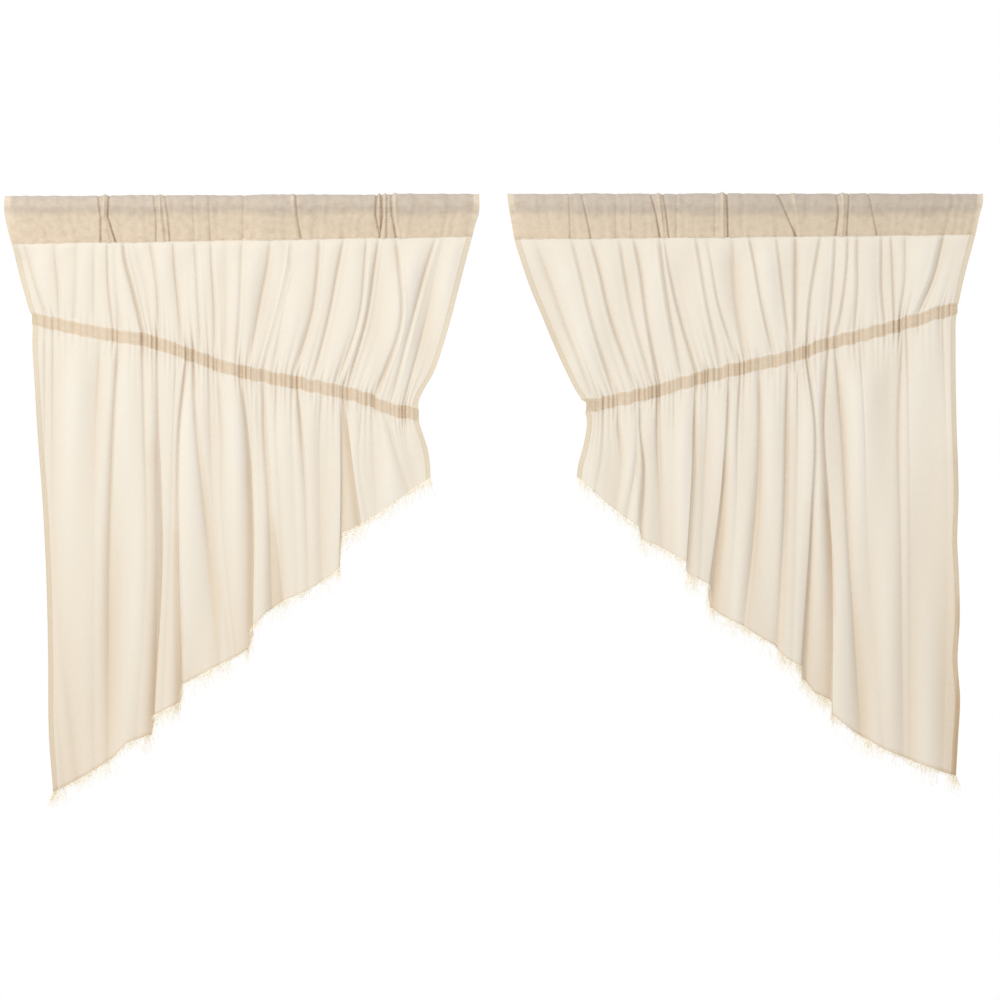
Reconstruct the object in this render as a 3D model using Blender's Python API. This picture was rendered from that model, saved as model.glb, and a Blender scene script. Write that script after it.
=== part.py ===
"""Swag and tail drape: two short curtain panels of thin unbleached cotton, hung on one rod line.

Each panel is cut square across the top and on a slant below, so that it hangs as a long tail on
its outer side and a short swag on its inner side. Its top is turned over into an open rod pocket,
a slanting tape on its back gathers it, and its cut edge is frayed into a fringe.

Units are metres. The origin is on the rod's axis, midway between the panels. +X is to the right
seen from the room, -Y faces the room and +Z is up.
"""

import math
import random
from collections import namedtuple

import bmesh
import bpy
import numpy as np

INCH = 0.0254

# Driving sizes of the pair
CUT_WIDTH = 36 * INCH
HALF_SPAN = 0.7445
CLOTH = 0.0012
GAP = 0.0003
SLANTED_GAP = 0.00036
ROD_ROOM = 0.014
SEAM_DEPTH = 0.004
TAPE_WIDTH = 0.020
SIDE_HEM = 0.012

# Rod pocket: points round its section, by angle from straight back over the top of the rod
POCKET_ANGLES = (195, 150, 112, 75, 35, -15)
POCKET_FRONT_SHARE = 0.55
POCKET_STATION = 0.045
PLEAT_HALF = 0.0045
POCKET_RIPPLE = 0.0009

# Gathering tape
TAPE_END = 0.0015
TAPE_SPACING = 0.012

# Frayed edge
FRINGE_STRIP = 0.0028
LOCK_SPACING = 0.0062
LOCK_LENGTHS = (0.009, 0.026)
LOCK_SWAY = 0.0016
SEED = 7

# How the gathers behave
GATHERED_SWING = 0.45
GATHERED_WIDTH = 0.5
FADE_BELOW_TAPE = 0.20
FADE_ABOVE_TAPE = 0.30
SAME_FOLD = 0.010
SECTION_STEP = 0.001
COLUMN_SPACING = 0.0042

# Shares of the way down each zone where the cloth has a row of points
UPPER_ROWS = (0.0, 0.25, 0.62, 1.0)
LOWER_ROWS = (0.0, 0.08, 0.22, 0.45, 0.72, 1.0)

# A place on an edge or on the tape: across is the distance from the panel's top outer corner
# towards the middle of the window, and drop is the distance below the rod's axis.
Place = namedtuple("Place", "across drop")

# A fold runs down the cloth. start, middle and end say where it crosses the panel at the top, half
# way down and at the bottom of its zone. width is half of the cloth that it takes, swing is how far
# the cloth turns out of flat in it, in degrees. A tuck doubles back, with its outer side in front.
Fold = namedtuple("Fold", "start middle end width swing tuck")

# A pleat is a small upright ridge pinched into the rod pocket.
Pleat = namedtuple("Pleat", "across height")

Panel = namedtuple(
    "Panel", "name side seam outer_edge inner_edge tape hem upper_folds lower_folds pleats"
)

LEFT = Panel(
    name="left",
    side=-1,
    seam=(0.061, 0.050),
    outer_edge=(
        Place(0.000, -0.015),
        Place(0.018, 0.061),
        Place(0.026, 0.102),
        Place(0.043, 0.166),
        Place(0.046, 0.190),
        Place(0.051, 0.300),
        Place(0.058, 0.453),
        Place(0.063, 0.605),
        Place(0.069, 0.757),
        Place(0.077, 0.896),
    ),
    inner_edge=(
        Place(0.721, -0.015),
        Place(0.719, 0.018),
        Place(0.710, 0.053),
        Place(0.693, 0.133),
        Place(0.675, 0.201),
        Place(0.663, 0.247),
        Place(0.645, 0.282),
        Place(0.630, 0.308),
        Place(0.631, 0.332),
        Place(0.639, 0.361),
        Place(0.646, 0.399),
        Place(0.649, 0.418),
    ),
    tape=(
        Place(0.043, 0.175),
        Place(0.090, 0.186),
        Place(0.162, 0.200),
        Place(0.215, 0.208),
        Place(0.279, 0.229),
        Place(0.332, 0.248),
        Place(0.396, 0.263),
        Place(0.477, 0.279),
        Place(0.552, 0.298),
        Place(0.591, 0.314),
        Place(0.630, 0.320),
    ),
    hem=(0.898, 0.418),
    upper_folds=(
        Fold(0.076, 0.079, 0.081, 0.015, 42, False),
        Fold(0.154, 0.157, 0.163, 0.013, 52, False),
        Fold(0.181, 0.192, 0.207, 0.013, 68, False),
        Fold(0.212, 0.221, 0.228, 0.012, 60, False),
        Fold(0.258, 0.262, 0.267, 0.016, 50, False),
        Fold(0.313, 0.317, 0.319, 0.015, 45, False),
        Fold(0.361, 0.357, 0.351, 0.016, 48, False),
        Fold(0.433, 0.405, 0.375, 0.014, 66, False),
        Fold(0.478, 0.466, 0.442, 0.015, 52, False),
        Fold(0.517, 0.498, 0.468, 0.016, 50, False),
        Fold(0.570, 0.559, 0.520, 0.014, 62, False),
        Fold(0.604, 0.606, 0.560, 0.014, 64, False),
        Fold(0.657, 0.639, 0.591, 0.016, 55, False),
    ),
    lower_folds=(
        Fold(0.098, 0.098, 0.100, 0.016, 26, False),
        Fold(0.170, 0.158, 0.146, 0.024, 46, False),
        Fold(0.232, 0.229, 0.215, 0.014, 158, True),
        Fold(0.268, 0.259, 0.257, 0.014, 158, True),
        Fold(0.294, 0.309, 0.326, 0.020, 44, False),
        Fold(0.356, 0.364, 0.367, 0.015, 155, True),
        Fold(0.392, 0.404, 0.415, 0.015, 66, False),
        Fold(0.437, 0.455, 0.465, 0.020, 36, False),
        Fold(0.507, 0.508, 0.497, 0.022, 165, True),
        Fold(0.544, 0.540, 0.546, 0.014, 66, False),
        Fold(0.580, 0.594, 0.607, 0.018, 40, False),
    ),
    pleats=(
        Pleat(0.150, 0.0035),
        Pleat(0.161, 0.0045),
        Pleat(0.233, 0.0035),
        Pleat(0.244, 0.0040),
        Pleat(0.314, 0.0025),
        Pleat(0.440, 0.0040),
        Pleat(0.563, 0.0045),
        Pleat(0.575, 0.0050),
        Pleat(0.588, 0.0040),
    ),
)

RIGHT = Panel(
    name="right",
    side=1,
    seam=(0.049, 0.056),
    outer_edge=(
        Place(0.000, -0.015),
        Place(0.002, 0.010),
        Place(0.006, 0.049),
        Place(0.018, 0.090),
        Place(0.031, 0.133),
        Place(0.039, 0.157),
        Place(0.040, 0.180),
        Place(0.039, 0.300),
        Place(0.037, 0.455),
        Place(0.036, 0.560),
        Place(0.034, 0.640),
        Place(0.036, 0.690),
        Place(0.033, 0.760),
        Place(0.039, 0.873),
    ),
    inner_edge=(
        Place(0.721, -0.015),
        Place(0.715, 0.033),
        Place(0.710, 0.056),
        Place(0.700, 0.090),
        Place(0.681, 0.133),
        Place(0.661, 0.178),
        Place(0.643, 0.216),
        Place(0.625, 0.262),
        Place(0.607, 0.303),
        Place(0.603, 0.322),
        Place(0.607, 0.354),
        Place(0.613, 0.395),
        Place(0.617, 0.421),
    ),
    tape=(
        Place(0.038, 0.160),
        Place(0.064, 0.167),
        Place(0.098, 0.178),
        Place(0.179, 0.201),
        Place(0.239, 0.216),
        Place(0.293, 0.235),
        Place(0.350, 0.248),
        Place(0.440, 0.270),
        Place(0.500, 0.288),
        Place(0.543, 0.298),
        Place(0.604, 0.310),
    ),
    hem=(0.875, 0.421),
    upper_folds=(
        Fold(0.066, 0.076, 0.096, 0.014, 58, False),
        Fold(0.117, 0.119, 0.123, 0.013, 40, False),
        Fold(0.150, 0.149, 0.144, 0.014, 50, False),
        Fold(0.189, 0.192, 0.194, 0.013, 46, False),
        Fold(0.223, 0.229, 0.233, 0.014, 52, False),
        Fold(0.250, 0.262, 0.268, 0.013, 46, False),
        Fold(0.284, 0.284, 0.290, 0.014, 66, False),
        Fold(0.350, 0.333, 0.318, 0.015, 62, False),
        Fold(0.380, 0.372, 0.363, 0.014, 46, False),
        Fold(0.435, 0.420, 0.400, 0.014, 56, False),
        Fold(0.489, 0.475, 0.456, 0.015, 68, False),
        Fold(0.536, 0.518, 0.500, 0.015, 50, False),
        Fold(0.599, 0.571, 0.521, 0.016, 60, False),
        Fold(0.640, 0.610, 0.567, 0.017, 54, False),
    ),
    lower_folds=(
        Fold(0.064, 0.062, 0.064, 0.010, 26, False),
        Fold(0.121, 0.126, 0.128, 0.020, 34, False),
        Fold(0.210, 0.197, 0.192, 0.020, 42, False),
        Fold(0.234, 0.231, 0.220, 0.012, 150, True),
        Fold(0.258, 0.254, 0.262, 0.015, 160, True),
        Fold(0.300, 0.301, 0.311, 0.020, 48, False),
        Fold(0.340, 0.348, 0.364, 0.020, 48, False),
        Fold(0.386, 0.396, 0.405, 0.016, 160, True),
        Fold(0.436, 0.441, 0.441, 0.014, 156, True),
        Fold(0.497, 0.492, 0.484, 0.020, 34, False),
        Fold(0.520, 0.520, 0.512, 0.012, 148, True),
        Fold(0.556, 0.546, 0.544, 0.015, 58, False),
    ),
    pleats=(
        Pleat(0.170, 0.0030),
        Pleat(0.206, 0.0035),
        Pleat(0.218, 0.0040),
        Pleat(0.284, 0.0045),
        Pleat(0.312, 0.0030),
        Pleat(0.390, 0.0045),
        Pleat(0.403, 0.0030),
        Pleat(0.486, 0.0045),
        Pleat(0.500, 0.0035),
        Pleat(0.600, 0.0040),
        Pleat(0.625, 0.0030),
    ),
)

PANELS = (LEFT, RIGHT)


def clear_scene():
    for thing in list(bpy.data.objects):
        bpy.data.objects.remove(thing)


def cotton(name, colour, roughness):
    """A plain matt cotton finish."""
    finish = bpy.data.materials.new(name)
    finish.use_nodes = True
    shader = finish.node_tree.nodes["Principled BSDF"]
    shader.inputs["Base Color"].default_value = (*colour, 1.0)
    shader.inputs["Roughness"].default_value = roughness
    shader.inputs["Metallic"].default_value = 0.0
    return finish


def smooth_line(places, along, value):
    """A smooth function through the places, from their along to their value."""
    xs = np.array([getattr(place, along) for place in places])
    ys = np.array([getattr(place, value) for place in places])
    slopes = np.gradient(ys, xs)

    def read(x):
        x = np.clip(x, xs[0], xs[-1])
        i = np.clip(np.searchsorted(xs, x) - 1, 0, len(xs) - 2)
        span = xs[i + 1] - xs[i]
        t = (x - xs[i]) / span
        return (
            ys[i] * (1 + 2 * t) * (1 - t) ** 2
            + ys[i + 1] * t * t * (3 - 2 * t)
            + slopes[i] * span * t * (1 - t) ** 2
            - slopes[i + 1] * span * t * t * (1 - t)
        )

    return read


def smooth_step(t):
    t = np.clip(t, 0, 1)
    return t * t * (3 - 2 * t)


def turn_of(fold, t):
    """How the cloth turns across a fold, from -1 to 1, where t runs from -1 to 1 over its width."""
    inside = np.abs(t) < 1
    if fold.tuck:
        return smooth_step((1 - np.abs(t)) / 0.55) * inside
    return -1.54 * np.sin(math.pi * t) * np.cos(math.pi * t / 2) ** 2 * inside


def crossing(fold, share):
    """Where a fold crosses the panel at this share of its zone, on a curve through its three places."""
    return (
        fold.start * (1 - share) * (1 - 2 * share)
        + fold.middle * 4 * share * (1 - share)
        + fold.end * share * (2 * share - 1)
    )


def fullness(zone, share):
    """How much of its full width and swing a fold has at this share of its zone."""
    if zone == "upper":
        return max(0.0, math.sin(math.pi * share))
    return float(smooth_step(share / 0.75))


def live_folds(panel, zone, share):
    """(fold, crossing, half width, swing in radians) of each fold at one row, from outer to inner.

    A fold of the other zone runs on past the tape and fades, unless one of this zone takes its place.
    """
    if zone == "upper":
        own, passing = panel.upper_folds, [(fold, fold.start) for fold in panel.lower_folds]
        fade = 1 - (1 - share) / FADE_ABOVE_TAPE
        meets = [fold.end for fold in own]
    else:
        own, passing = panel.lower_folds, [(fold, fold.end) for fold in panel.upper_folds]
        fade = 1 - share / FADE_BELOW_TAPE
        meets = [fold.start for fold in own]
    full = fullness(zone, share)
    width = GATHERED_WIDTH + (1 - GATHERED_WIDTH) * full
    swing = GATHERED_SWING + (1 - GATHERED_SWING) * full
    rows = [
        (fold, crossing(fold, share), fold.width * width, math.radians(fold.swing) * swing)
        for fold in own
    ]
    if fade > 0.01:
        rows += [
            (fold, across, fold.width * GATHERED_WIDTH, math.radians(fold.swing) * GATHERED_SWING * fade)
            for fold, across in passing
            if min(abs(across - place) for place in meets) > SAME_FOLD
        ]
    return sorted(rows, key=lambda row: row[1])


def taken_by(fold, width, swing):
    """The cloth that a fold hides: its length less how far it reaches across."""
    t = np.linspace(-1, 1, 81)
    return float(np.mean(1 - np.cos(swing * turn_of(fold, t)))) * 2 * width


def section(panel, zone, share, outer, inner):
    """(cloth, across, depth, centres): the row's curve seen from above, over the cloth's own width.

    The curve is worked out from how the cloth turns, so its length stays the cloth's. Depth is
    positive away from the room, and centres holds each fold's place on the cloth.
    """
    cloth = np.arange(0, CUT_WIDTH + SECTION_STEP / 2, SECTION_STEP)
    rows = live_folds(panel, zone, share)
    hidden = [taken_by(fold, width, swing) for fold, _, width, swing in rows]
    squeeze = (inner - outer) / (CUT_WIDTH - sum(hidden))
    turn = np.zeros_like(cloth)
    centres, used = {}, 0.0
    for (fold, across, width, swing), taken in zip(rows, hidden):
        centre = (across - outer) / squeeze + used + taken / 2
        used += taken
        centres[fold] = centre
        turn += swing * turn_of(fold, (cloth - centre) / width)
    reach = np.concatenate([[0], np.cumsum(np.cos((turn[1:] + turn[:-1]) / 2))]) * SECTION_STEP
    depth = np.concatenate([[0], np.cumsum(np.sin((turn[1:] + turn[:-1]) / 2))]) * SECTION_STEP
    depth -= depth[-1] * cloth / CUT_WIDTH
    depth -= np.mean(depth)
    gathered = (inner - outer) / reach[-1]
    return cloth, outer + reach * gathered, depth * gathered, centres


class Drape:
    """The middle surface of one panel's cloth, from the pocket's seam to the cut edge."""

    def __init__(self, panel):
        self.panel = panel
        self.outer = smooth_line(panel.outer_edge, "drop", "across")
        self.inner = smooth_line(panel.inner_edge, "drop", "across")
        self.tape = smooth_line(panel.tape, "across", "drop")
        self.seam = panel.seam
        ends = (panel.tape[0].drop, panel.tape[-1].drop)
        half = TAPE_WIDTH / 2
        self.spans = {
            "upper": (self.seam, tuple(end - half for end in ends)),
            "lower": (tuple(end + half for end in ends), panel.hem),
        }
        _, _, _, self.tape_centres = self.row("lower", 0.0)
        self.columns = self.choose_columns()

    def ends_at(self, zone, share):
        """The outer and the inner end of a row, across the panel."""
        top, bottom = self.spans[zone]
        outer_drop = top[0] + (bottom[0] - top[0]) * share
        inner_drop = top[1] + (bottom[1] - top[1]) * share
        return float(self.outer(outer_drop)), float(self.inner(inner_drop))

    def row(self, zone, share):
        return section(self.panel, zone, share, *self.ends_at(zone, share))

    def folds_of(self, zone):
        return self.panel.upper_folds if zone == "upper" else self.panel.lower_folds

    def choose_columns(self):
        """Places on the cloth at the tape where the surface has points: close in folds, wide between."""
        wanted = [0.0, SIDE_HEM - 0.001, SIDE_HEM, CUT_WIDTH - SIDE_HEM, CUT_WIDTH - SIDE_HEM + 0.001]
        wanted.append(CUT_WIDTH)
        for fold, centre in self.tape_centres.items():
            steps = (-1, -0.72, -0.5, -0.2, 0.2, 0.5, 0.72, 1) if fold.tuck else (-1, -0.45, 0, 0.45, 1)
            half = fold.width * GATHERED_WIDTH
            wanted += [centre + step * half for step in steps]
        wanted.sort()
        kept = [wanted[0]]
        for place in wanted[1:]:
            if place - kept[-1] > COLUMN_SPACING * 0.45 or place in (SIDE_HEM, CUT_WIDTH):
                kept.append(place)
        return np.array([place for place in kept if place <= CUT_WIDTH])

    def columns_at(self, zone, share, centres):
        """The columns' places on the cloth at a row, which drift with the folds of that zone."""
        knots_tape, knots_row = [0.0, SIDE_HEM], [0.0, SIDE_HEM]
        width = GATHERED_WIDTH + (1 - GATHERED_WIDTH) * fullness(zone, share)
        for fold in self.folds_of(zone):
            at_tape = fold
            if fold not in self.tape_centres:
                at_tape = min(self.panel.lower_folds, key=lambda other: abs(other.start - fold.end))
            for side in (-1, 1):
                knots_tape.append(self.tape_centres[at_tape] + side * at_tape.width * GATHERED_WIDTH)
                knots_row.append(centres[fold] + side * fold.width * width)
        knots_tape += [CUT_WIDTH - SIDE_HEM, CUT_WIDTH]
        knots_row += [CUT_WIDTH - SIDE_HEM, CUT_WIDTH]
        knots_tape = np.maximum.accumulate(knots_tape)
        knots_row = np.maximum.accumulate(knots_row)
        return np.interp(self.columns, knots_tape, knots_row)

    def hem_drop(self, cloth):
        outer, inner = self.panel.hem
        return outer + (inner - outer) * cloth / CUT_WIDTH

    def points_at(self, zone, share):
        """Points (across, depth, drop) of one row of the surface."""
        cloth, across, depth, centres = self.row(zone, share)
        places = self.columns_at(zone, share, centres)
        row_across = np.interp(places, cloth, across)
        row_depth = np.interp(places, cloth, depth)
        return places, row_across, row_depth

    def grid(self):
        """Rows of points from the seam down to the hem, as an array of (across, depth, drop)."""
        half = TAPE_WIDTH / 2
        _, tape_across, tape_depth = self.points_at("lower", 0.0)
        tape_drop = self.tape(tape_across)
        _, seam_across, _ = self.points_at("upper", 0.0)
        share = (seam_across - seam_across[0]) / (seam_across[-1] - seam_across[0])
        seam_drop = self.seam[0] + (self.seam[1] - self.seam[0]) * share + GAP
        places, _, _ = self.points_at("lower", 1.0)
        hem_drop = self.hem_drop(places)
        rows = []
        for share in UPPER_ROWS:
            _, across, depth = self.points_at("upper", share)
            if share == 1.0:
                across, depth = tape_across, tape_depth
            drop = seam_drop + (tape_drop - half - seam_drop) * share
            rows.append(np.stack([across, depth, drop], axis=1))
        for share in LOWER_ROWS:
            _, across, depth = self.points_at("lower", share)
            drop = tape_drop + half + (hem_drop - tape_drop - half) * share
            rows.append(np.stack([across, depth, drop], axis=1))
        return np.array(rows)


def placed(panel, points):
    """Points (across, depth, drop) of a panel in the part's own frame."""
    points = np.asarray(points)
    x = panel.side * (HALF_SPAN - points[..., 0])
    return np.stack([x, points[..., 1], -points[..., 2]], axis=-1)


def directions(grid, axis):
    """The direction of the grid's lines at each point: the mean of the directions before and after."""
    step = np.diff(grid, axis=axis)
    step /= np.linalg.norm(step, axis=-1, keepdims=True)
    step = np.moveaxis(step, axis, 0)
    mean = np.concatenate([step[:1], step[1:] + step[:-1], step[-1:]])
    return np.moveaxis(mean, 0, axis)


def normals_of(grid):
    """Unit normals of a grid of points."""
    normal = np.cross(directions(grid, 1), directions(grid, 0))
    normal /= np.linalg.norm(normal, axis=-1, keepdims=True)
    return normal


def make_object(name, points, faces, finish, smooth_angle=50):
    """A mesh object with shared corners, its faces turned outwards."""
    mesh = bpy.data.meshes.new(name)
    mesh.from_pydata([tuple(point) for point in points], [], faces)
    shape = bmesh.new()
    shape.from_mesh(mesh)
    bmesh.ops.recalc_face_normals(shape, faces=shape.faces)
    bmesh.ops.triangulate(shape, faces=shape.faces)
    shape.to_mesh(mesh)
    shape.free()
    mesh.materials.append(finish)
    mesh.shade_smooth()
    mesh.set_sharp_from_angle(angle=math.radians(smooth_angle))
    thing = bpy.data.objects.new(name, mesh)
    bpy.context.scene.collection.objects.link(thing)
    return thing


def slab(front, back):
    """(points, faces) of the closed solid between two grids of the same size."""
    rows, columns = front.shape[:2]
    points = np.concatenate([front.reshape(-1, 3), back.reshape(-1, 3)])
    behind = rows * columns

    def at(row, column, layer=0):
        return row * columns + column + layer * behind

    faces = []
    for r in range(rows - 1):
        for c in range(columns - 1):
            faces.append((at(r, c), at(r, c + 1), at(r + 1, c + 1), at(r + 1, c)))
            faces.append((at(r, c, 1), at(r + 1, c, 1), at(r + 1, c + 1, 1), at(r, c + 1, 1)))
    for c in range(columns - 1):
        for r in (0, rows - 1):
            faces.append((at(r, c), at(r, c, 1), at(r, c + 1, 1), at(r, c + 1)))
    for r in range(rows - 1):
        for c in (0, columns - 1):
            faces.append((at(r, c), at(r + 1, c), at(r + 1, c, 1), at(r, c, 1)))
    return points, faces


def faces_of_cloth(drape, grid):
    """The front and the back of the cloth, one layer apart, and two where a side edge is turned in."""
    middle = placed(drape.panel, grid)
    normal = normals_of(middle)
    if normal[:, :, 1].mean() < 0:
        normal = -normal
    hemmed = (drape.columns <= SIDE_HEM - 0.0005) | (drape.columns >= CUT_WIDTH - SIDE_HEM + 0.0005)
    layers = np.where(hemmed, 1.5, 0.5)[None, :, None]
    return middle - normal * CLOTH / 2, middle + normal * CLOTH * layers


def build_cloth(drape, front, back, finish):
    """The panel's cloth with its turned side hems, which are part of the same piece."""
    points, faces = slab(front, back)
    return make_object(f"{drape.panel.name}_panel_cloth", points, faces, finish)


def pocket_ring(seam_depth, seam_drop, radius, seam_half, seam_rise):
    """(depth, drop) of the points round the pocket, from its seam up the front and down the back."""
    ring = [(seam_depth - seam_half, seam_drop - seam_rise)]
    around = [
        (radius * math.cos(math.radians(angle)), -radius * math.sin(math.radians(angle)))
        for angle in POCKET_ANGLES
    ]
    first = ring[0]
    ring.append(
        tuple(a + (b - a) * POCKET_FRONT_SHARE for a, b in zip(first, around[0]))
    )
    ring += around
    ring.append((seam_depth + seam_half, seam_drop - seam_rise))
    return ring


def build_pocket(drape, grid, finish):
    """The rod pocket: an open sleeve, with pleats pinched into it where it is gathered on the rod."""
    panel = drape.panel
    top_outer, top_inner = panel.outer_edge[0].across, panel.inner_edge[0].across
    span = top_inner - top_outer
    stations = list(np.linspace(0, 1, int(span / POCKET_STATION) + 1))
    for pleat in panel.pleats:
        middle = (pleat.across - top_outer) / span
        stations = [s for s in stations if s in (0.0, 1.0) or abs(s - middle) * span > 0.008]
        stations += [middle - PLEAT_HALF / span, middle, middle + PLEAT_HALF / span]
    stations = sorted(stations)
    kept = [stations[0]]
    for station in stations[1:]:
        if (station - kept[-1]) * span > 0.0028:
            kept.append(station)
    seam_row = grid[0]
    seam_share = (seam_row[:, 0] - seam_row[0, 0]) / (seam_row[-1, 0] - seam_row[0, 0])
    rings = []
    for station in kept:
        seam_depth = float(np.interp(station, seam_share, seam_row[:, 1]))
        seam_drop = panel.seam[0] + (panel.seam[1] - panel.seam[0]) * station - SLANTED_GAP + GAP
        across = top_outer + station * span
        lift = POCKET_RIPPLE * math.sin(across * 95 + panel.side) * math.sin(across * 41 + 1)
        for pleat in panel.pleats:
            near = 1 - abs(across - pleat.across) / PLEAT_HALF
            lift += pleat.height * max(0.0, near)
        walls = (
            pocket_ring(seam_depth, seam_drop, ROD_ROOM + CLOTH, CLOTH, 0.0),
            pocket_ring(seam_depth, seam_drop, ROD_ROOM, CLOTH * 0.2, SEAM_DEPTH),
        )
        points = []
        for wall in walls:
            for place, (depth, drop) in enumerate(wall):
                on_front = (0.35, 0.8, 1.0, 0.9, 0.45, 0.2, 0.0, 0.0, 0.0)[place]
                outer = float(drape.outer(drop))
                inner = float(drape.inner(drop))
                reach = max(1e-6, math.hypot(depth, drop))
                push = max(0.0, lift) * on_front
                upward = push * 0.35 * (-drop / reach if drop < 0 else 0.0)
                points.append((outer + station * (inner - outer), depth - push, drop - upward))
        rings.append(points)
    rings = placed(panel, np.array(rings))
    count = rings.shape[1] // 2
    total = rings.shape[1]
    faces = []
    for s in range(len(rings) - 1):
        for wall in (0, 1):
            for p in range(count):
                a = s * total + wall * count + p
                b = s * total + wall * count + (p + 1) % count
                faces.append((a, b, b + total, a + total))
    for s in (0, len(rings) - 1):
        for p in range(count):
            a = s * total + p
            b = s * total + (p + 1) % count
            faces.append((a, b, b + count, a + count))
    return make_object(f"{panel.name}_rod_pocket", rings.reshape(-1, 3), faces, finish)


def build_tape(drape, back, finish):
    """The gathering tape, a strip along the cloth's back that lies on the crests of its gathers."""
    panel = drape.panel
    top, bottom = back[len(UPPER_ROWS) - 1], back[len(UPPER_ROWS)]
    order = np.argsort(top[:, 0])
    xs = top[order, 0]
    depths = np.maximum(top[order, 1], bottom[order, 1])
    upper, lower = top[order, 2] - GAP * 2, bottom[order, 2] + GAP * 2
    fine = np.linspace(xs[0] + TAPE_END, xs[-1] - TAPE_END, 1400)
    fine_depth = np.interp(fine, xs, depths)
    count = int((fine[-1] - fine[0]) / TAPE_SPACING)
    places = np.linspace(fine[0], fine[-1], count)
    front = np.zeros((2, count, 3))
    for k, x in enumerate(places):
        low = places[max(0, k - 1)] - 0.001
        high = places[min(count - 1, k + 1)] + 0.001
        depth = fine_depth[(fine >= low) & (fine <= high)].max() + GAP
        front[0, k] = (x, depth, np.interp(x, xs, upper))
        front[1, k] = (x, depth, np.interp(x, xs, lower))
    behind = front + np.array([0, CLOTH, 0])
    points, faces = slab(front, behind)
    return make_object(f"{panel.name}_gather_tape", points, faces, finish)


def build_fringe(drape, front, back, finish):
    """The frayed edge: locks of loose threads, joined at their roots in a strip below the cloth."""
    panel = drape.panel
    dice = random.Random(SEED + panel.side)
    places, _, _ = drape.points_at("lower", 1.0)
    edges = [places[0]]
    for place in places[1:]:
        if place - edges[-1] < 0.0004:
            continue
        parts = max(1, round((place - edges[-1]) / LOCK_SPACING))
        edges += list(np.linspace(edges[-1], place, parts + 1)[1:])
    edges = np.array(edges)

    def along(row):
        return np.stack([np.interp(edges, places, row[:, k]) for k in range(3)], axis=1)

    front_edge, back_edge = along(front[-1]), along(back[-1])
    lower_edge = np.minimum(front_edge[:, 2], back_edge[:, 2]) - SLANTED_GAP
    front_edge[:, 2] = lower_edge
    back_edge[:, 2] = lower_edge
    below = np.array([0, 0, -FRINGE_STRIP])
    points = []
    for ahead, behind in zip(front_edge, back_edge):
        points += [ahead, behind, behind + below, ahead + below]
    faces = []
    for e in range(len(edges) - 1):
        a, b = 4 * e, 4 * (e + 1)
        faces += [(a, a + 1, b + 1, b), (a + 1, a + 2, b + 2, b + 1), (a + 3, a, b, b + 3)]
        if e % 2 == 0:
            faces.append((a + 2, a + 3, b + 3, b + 2))
            continue
        corners = (a + 2, a + 3, b + 3, b + 2)
        middle = sum(points[corner] for corner in corners) / 4
        length = dice.uniform(*LOCK_LENGTHS)
        sway = np.array([dice.uniform(-1, 1), dice.uniform(-0.3, 0.3), 0]) * LOCK_SWAY
        faces += [(corners[k], corners[(k + 1) % 4], len(points)) for k in range(4)]
        points.append(middle + sway + np.array([0, 0, -length]))
    last = 4 * (len(edges) - 1)
    faces += [(0, 1, 2, 3), (last, last + 1, last + 2, last + 3)]
    return make_object(f"{panel.name}_frayed_fringe", points, faces, finish)




def main():
    clear_scene()
    cloth_finish = cotton("unbleached_cotton", (0.86, 0.78, 0.66), 0.9)
    pocket_finish = cotton("pocket_cotton", (0.76, 0.68, 0.55), 0.9)
    tape_finish = cotton("tape_cotton", (0.74, 0.65, 0.51), 0.85)
    fringe_finish = cotton("frayed_cotton", (0.87, 0.80, 0.66), 0.95)
    for panel in PANELS:
        drape = Drape(panel)
        grid = drape.grid()
        front, back = faces_of_cloth(drape, grid)
        build_cloth(drape, front, back, cloth_finish)
        build_pocket(drape, grid, pocket_finish)
        build_tape(drape, back, tape_finish)
        build_fringe(drape, front, back, fringe_finish)


main()
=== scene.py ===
import math
import random
from collections import namedtuple

import bpy
import numpy as np
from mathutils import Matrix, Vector


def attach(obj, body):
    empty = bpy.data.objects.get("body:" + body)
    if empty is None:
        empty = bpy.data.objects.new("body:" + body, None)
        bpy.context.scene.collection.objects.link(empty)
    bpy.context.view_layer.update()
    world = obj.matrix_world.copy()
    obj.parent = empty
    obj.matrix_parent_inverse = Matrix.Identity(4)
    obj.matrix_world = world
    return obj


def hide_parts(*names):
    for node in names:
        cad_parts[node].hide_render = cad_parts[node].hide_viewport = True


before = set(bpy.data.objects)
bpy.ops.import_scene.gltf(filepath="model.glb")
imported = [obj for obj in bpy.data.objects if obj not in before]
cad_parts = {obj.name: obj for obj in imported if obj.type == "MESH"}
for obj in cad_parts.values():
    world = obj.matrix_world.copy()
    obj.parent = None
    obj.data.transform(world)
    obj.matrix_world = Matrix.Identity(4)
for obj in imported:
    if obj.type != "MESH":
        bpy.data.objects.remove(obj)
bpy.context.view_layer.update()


# The studio. The pair hangs in a white room with light from all round, and one large soft lamp in
# front of it, high on the left. The camera looks straight at it from far off, so it stays square.
PIXEL = 0.001524
FRAME_PIXELS = 1000
MIDDLE_PIXEL = 494
ROD_PIXEL = 204
VIEW_DISTANCE = 6.0
FLOOR_DROP = 1.5
FLOOR_HALF = 2.1
ROOM_BRIGHTNESS = 0.74
BACKGROUND_BRIGHTNESS = 1.0
LAMP_PLACE = (-1.7, -2.5, 2.1)
LAMP_AIM = (0.0, 0.0, -0.4)
LAMP_SIZE = 1.6
LAMP_POWER = 132.0

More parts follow.
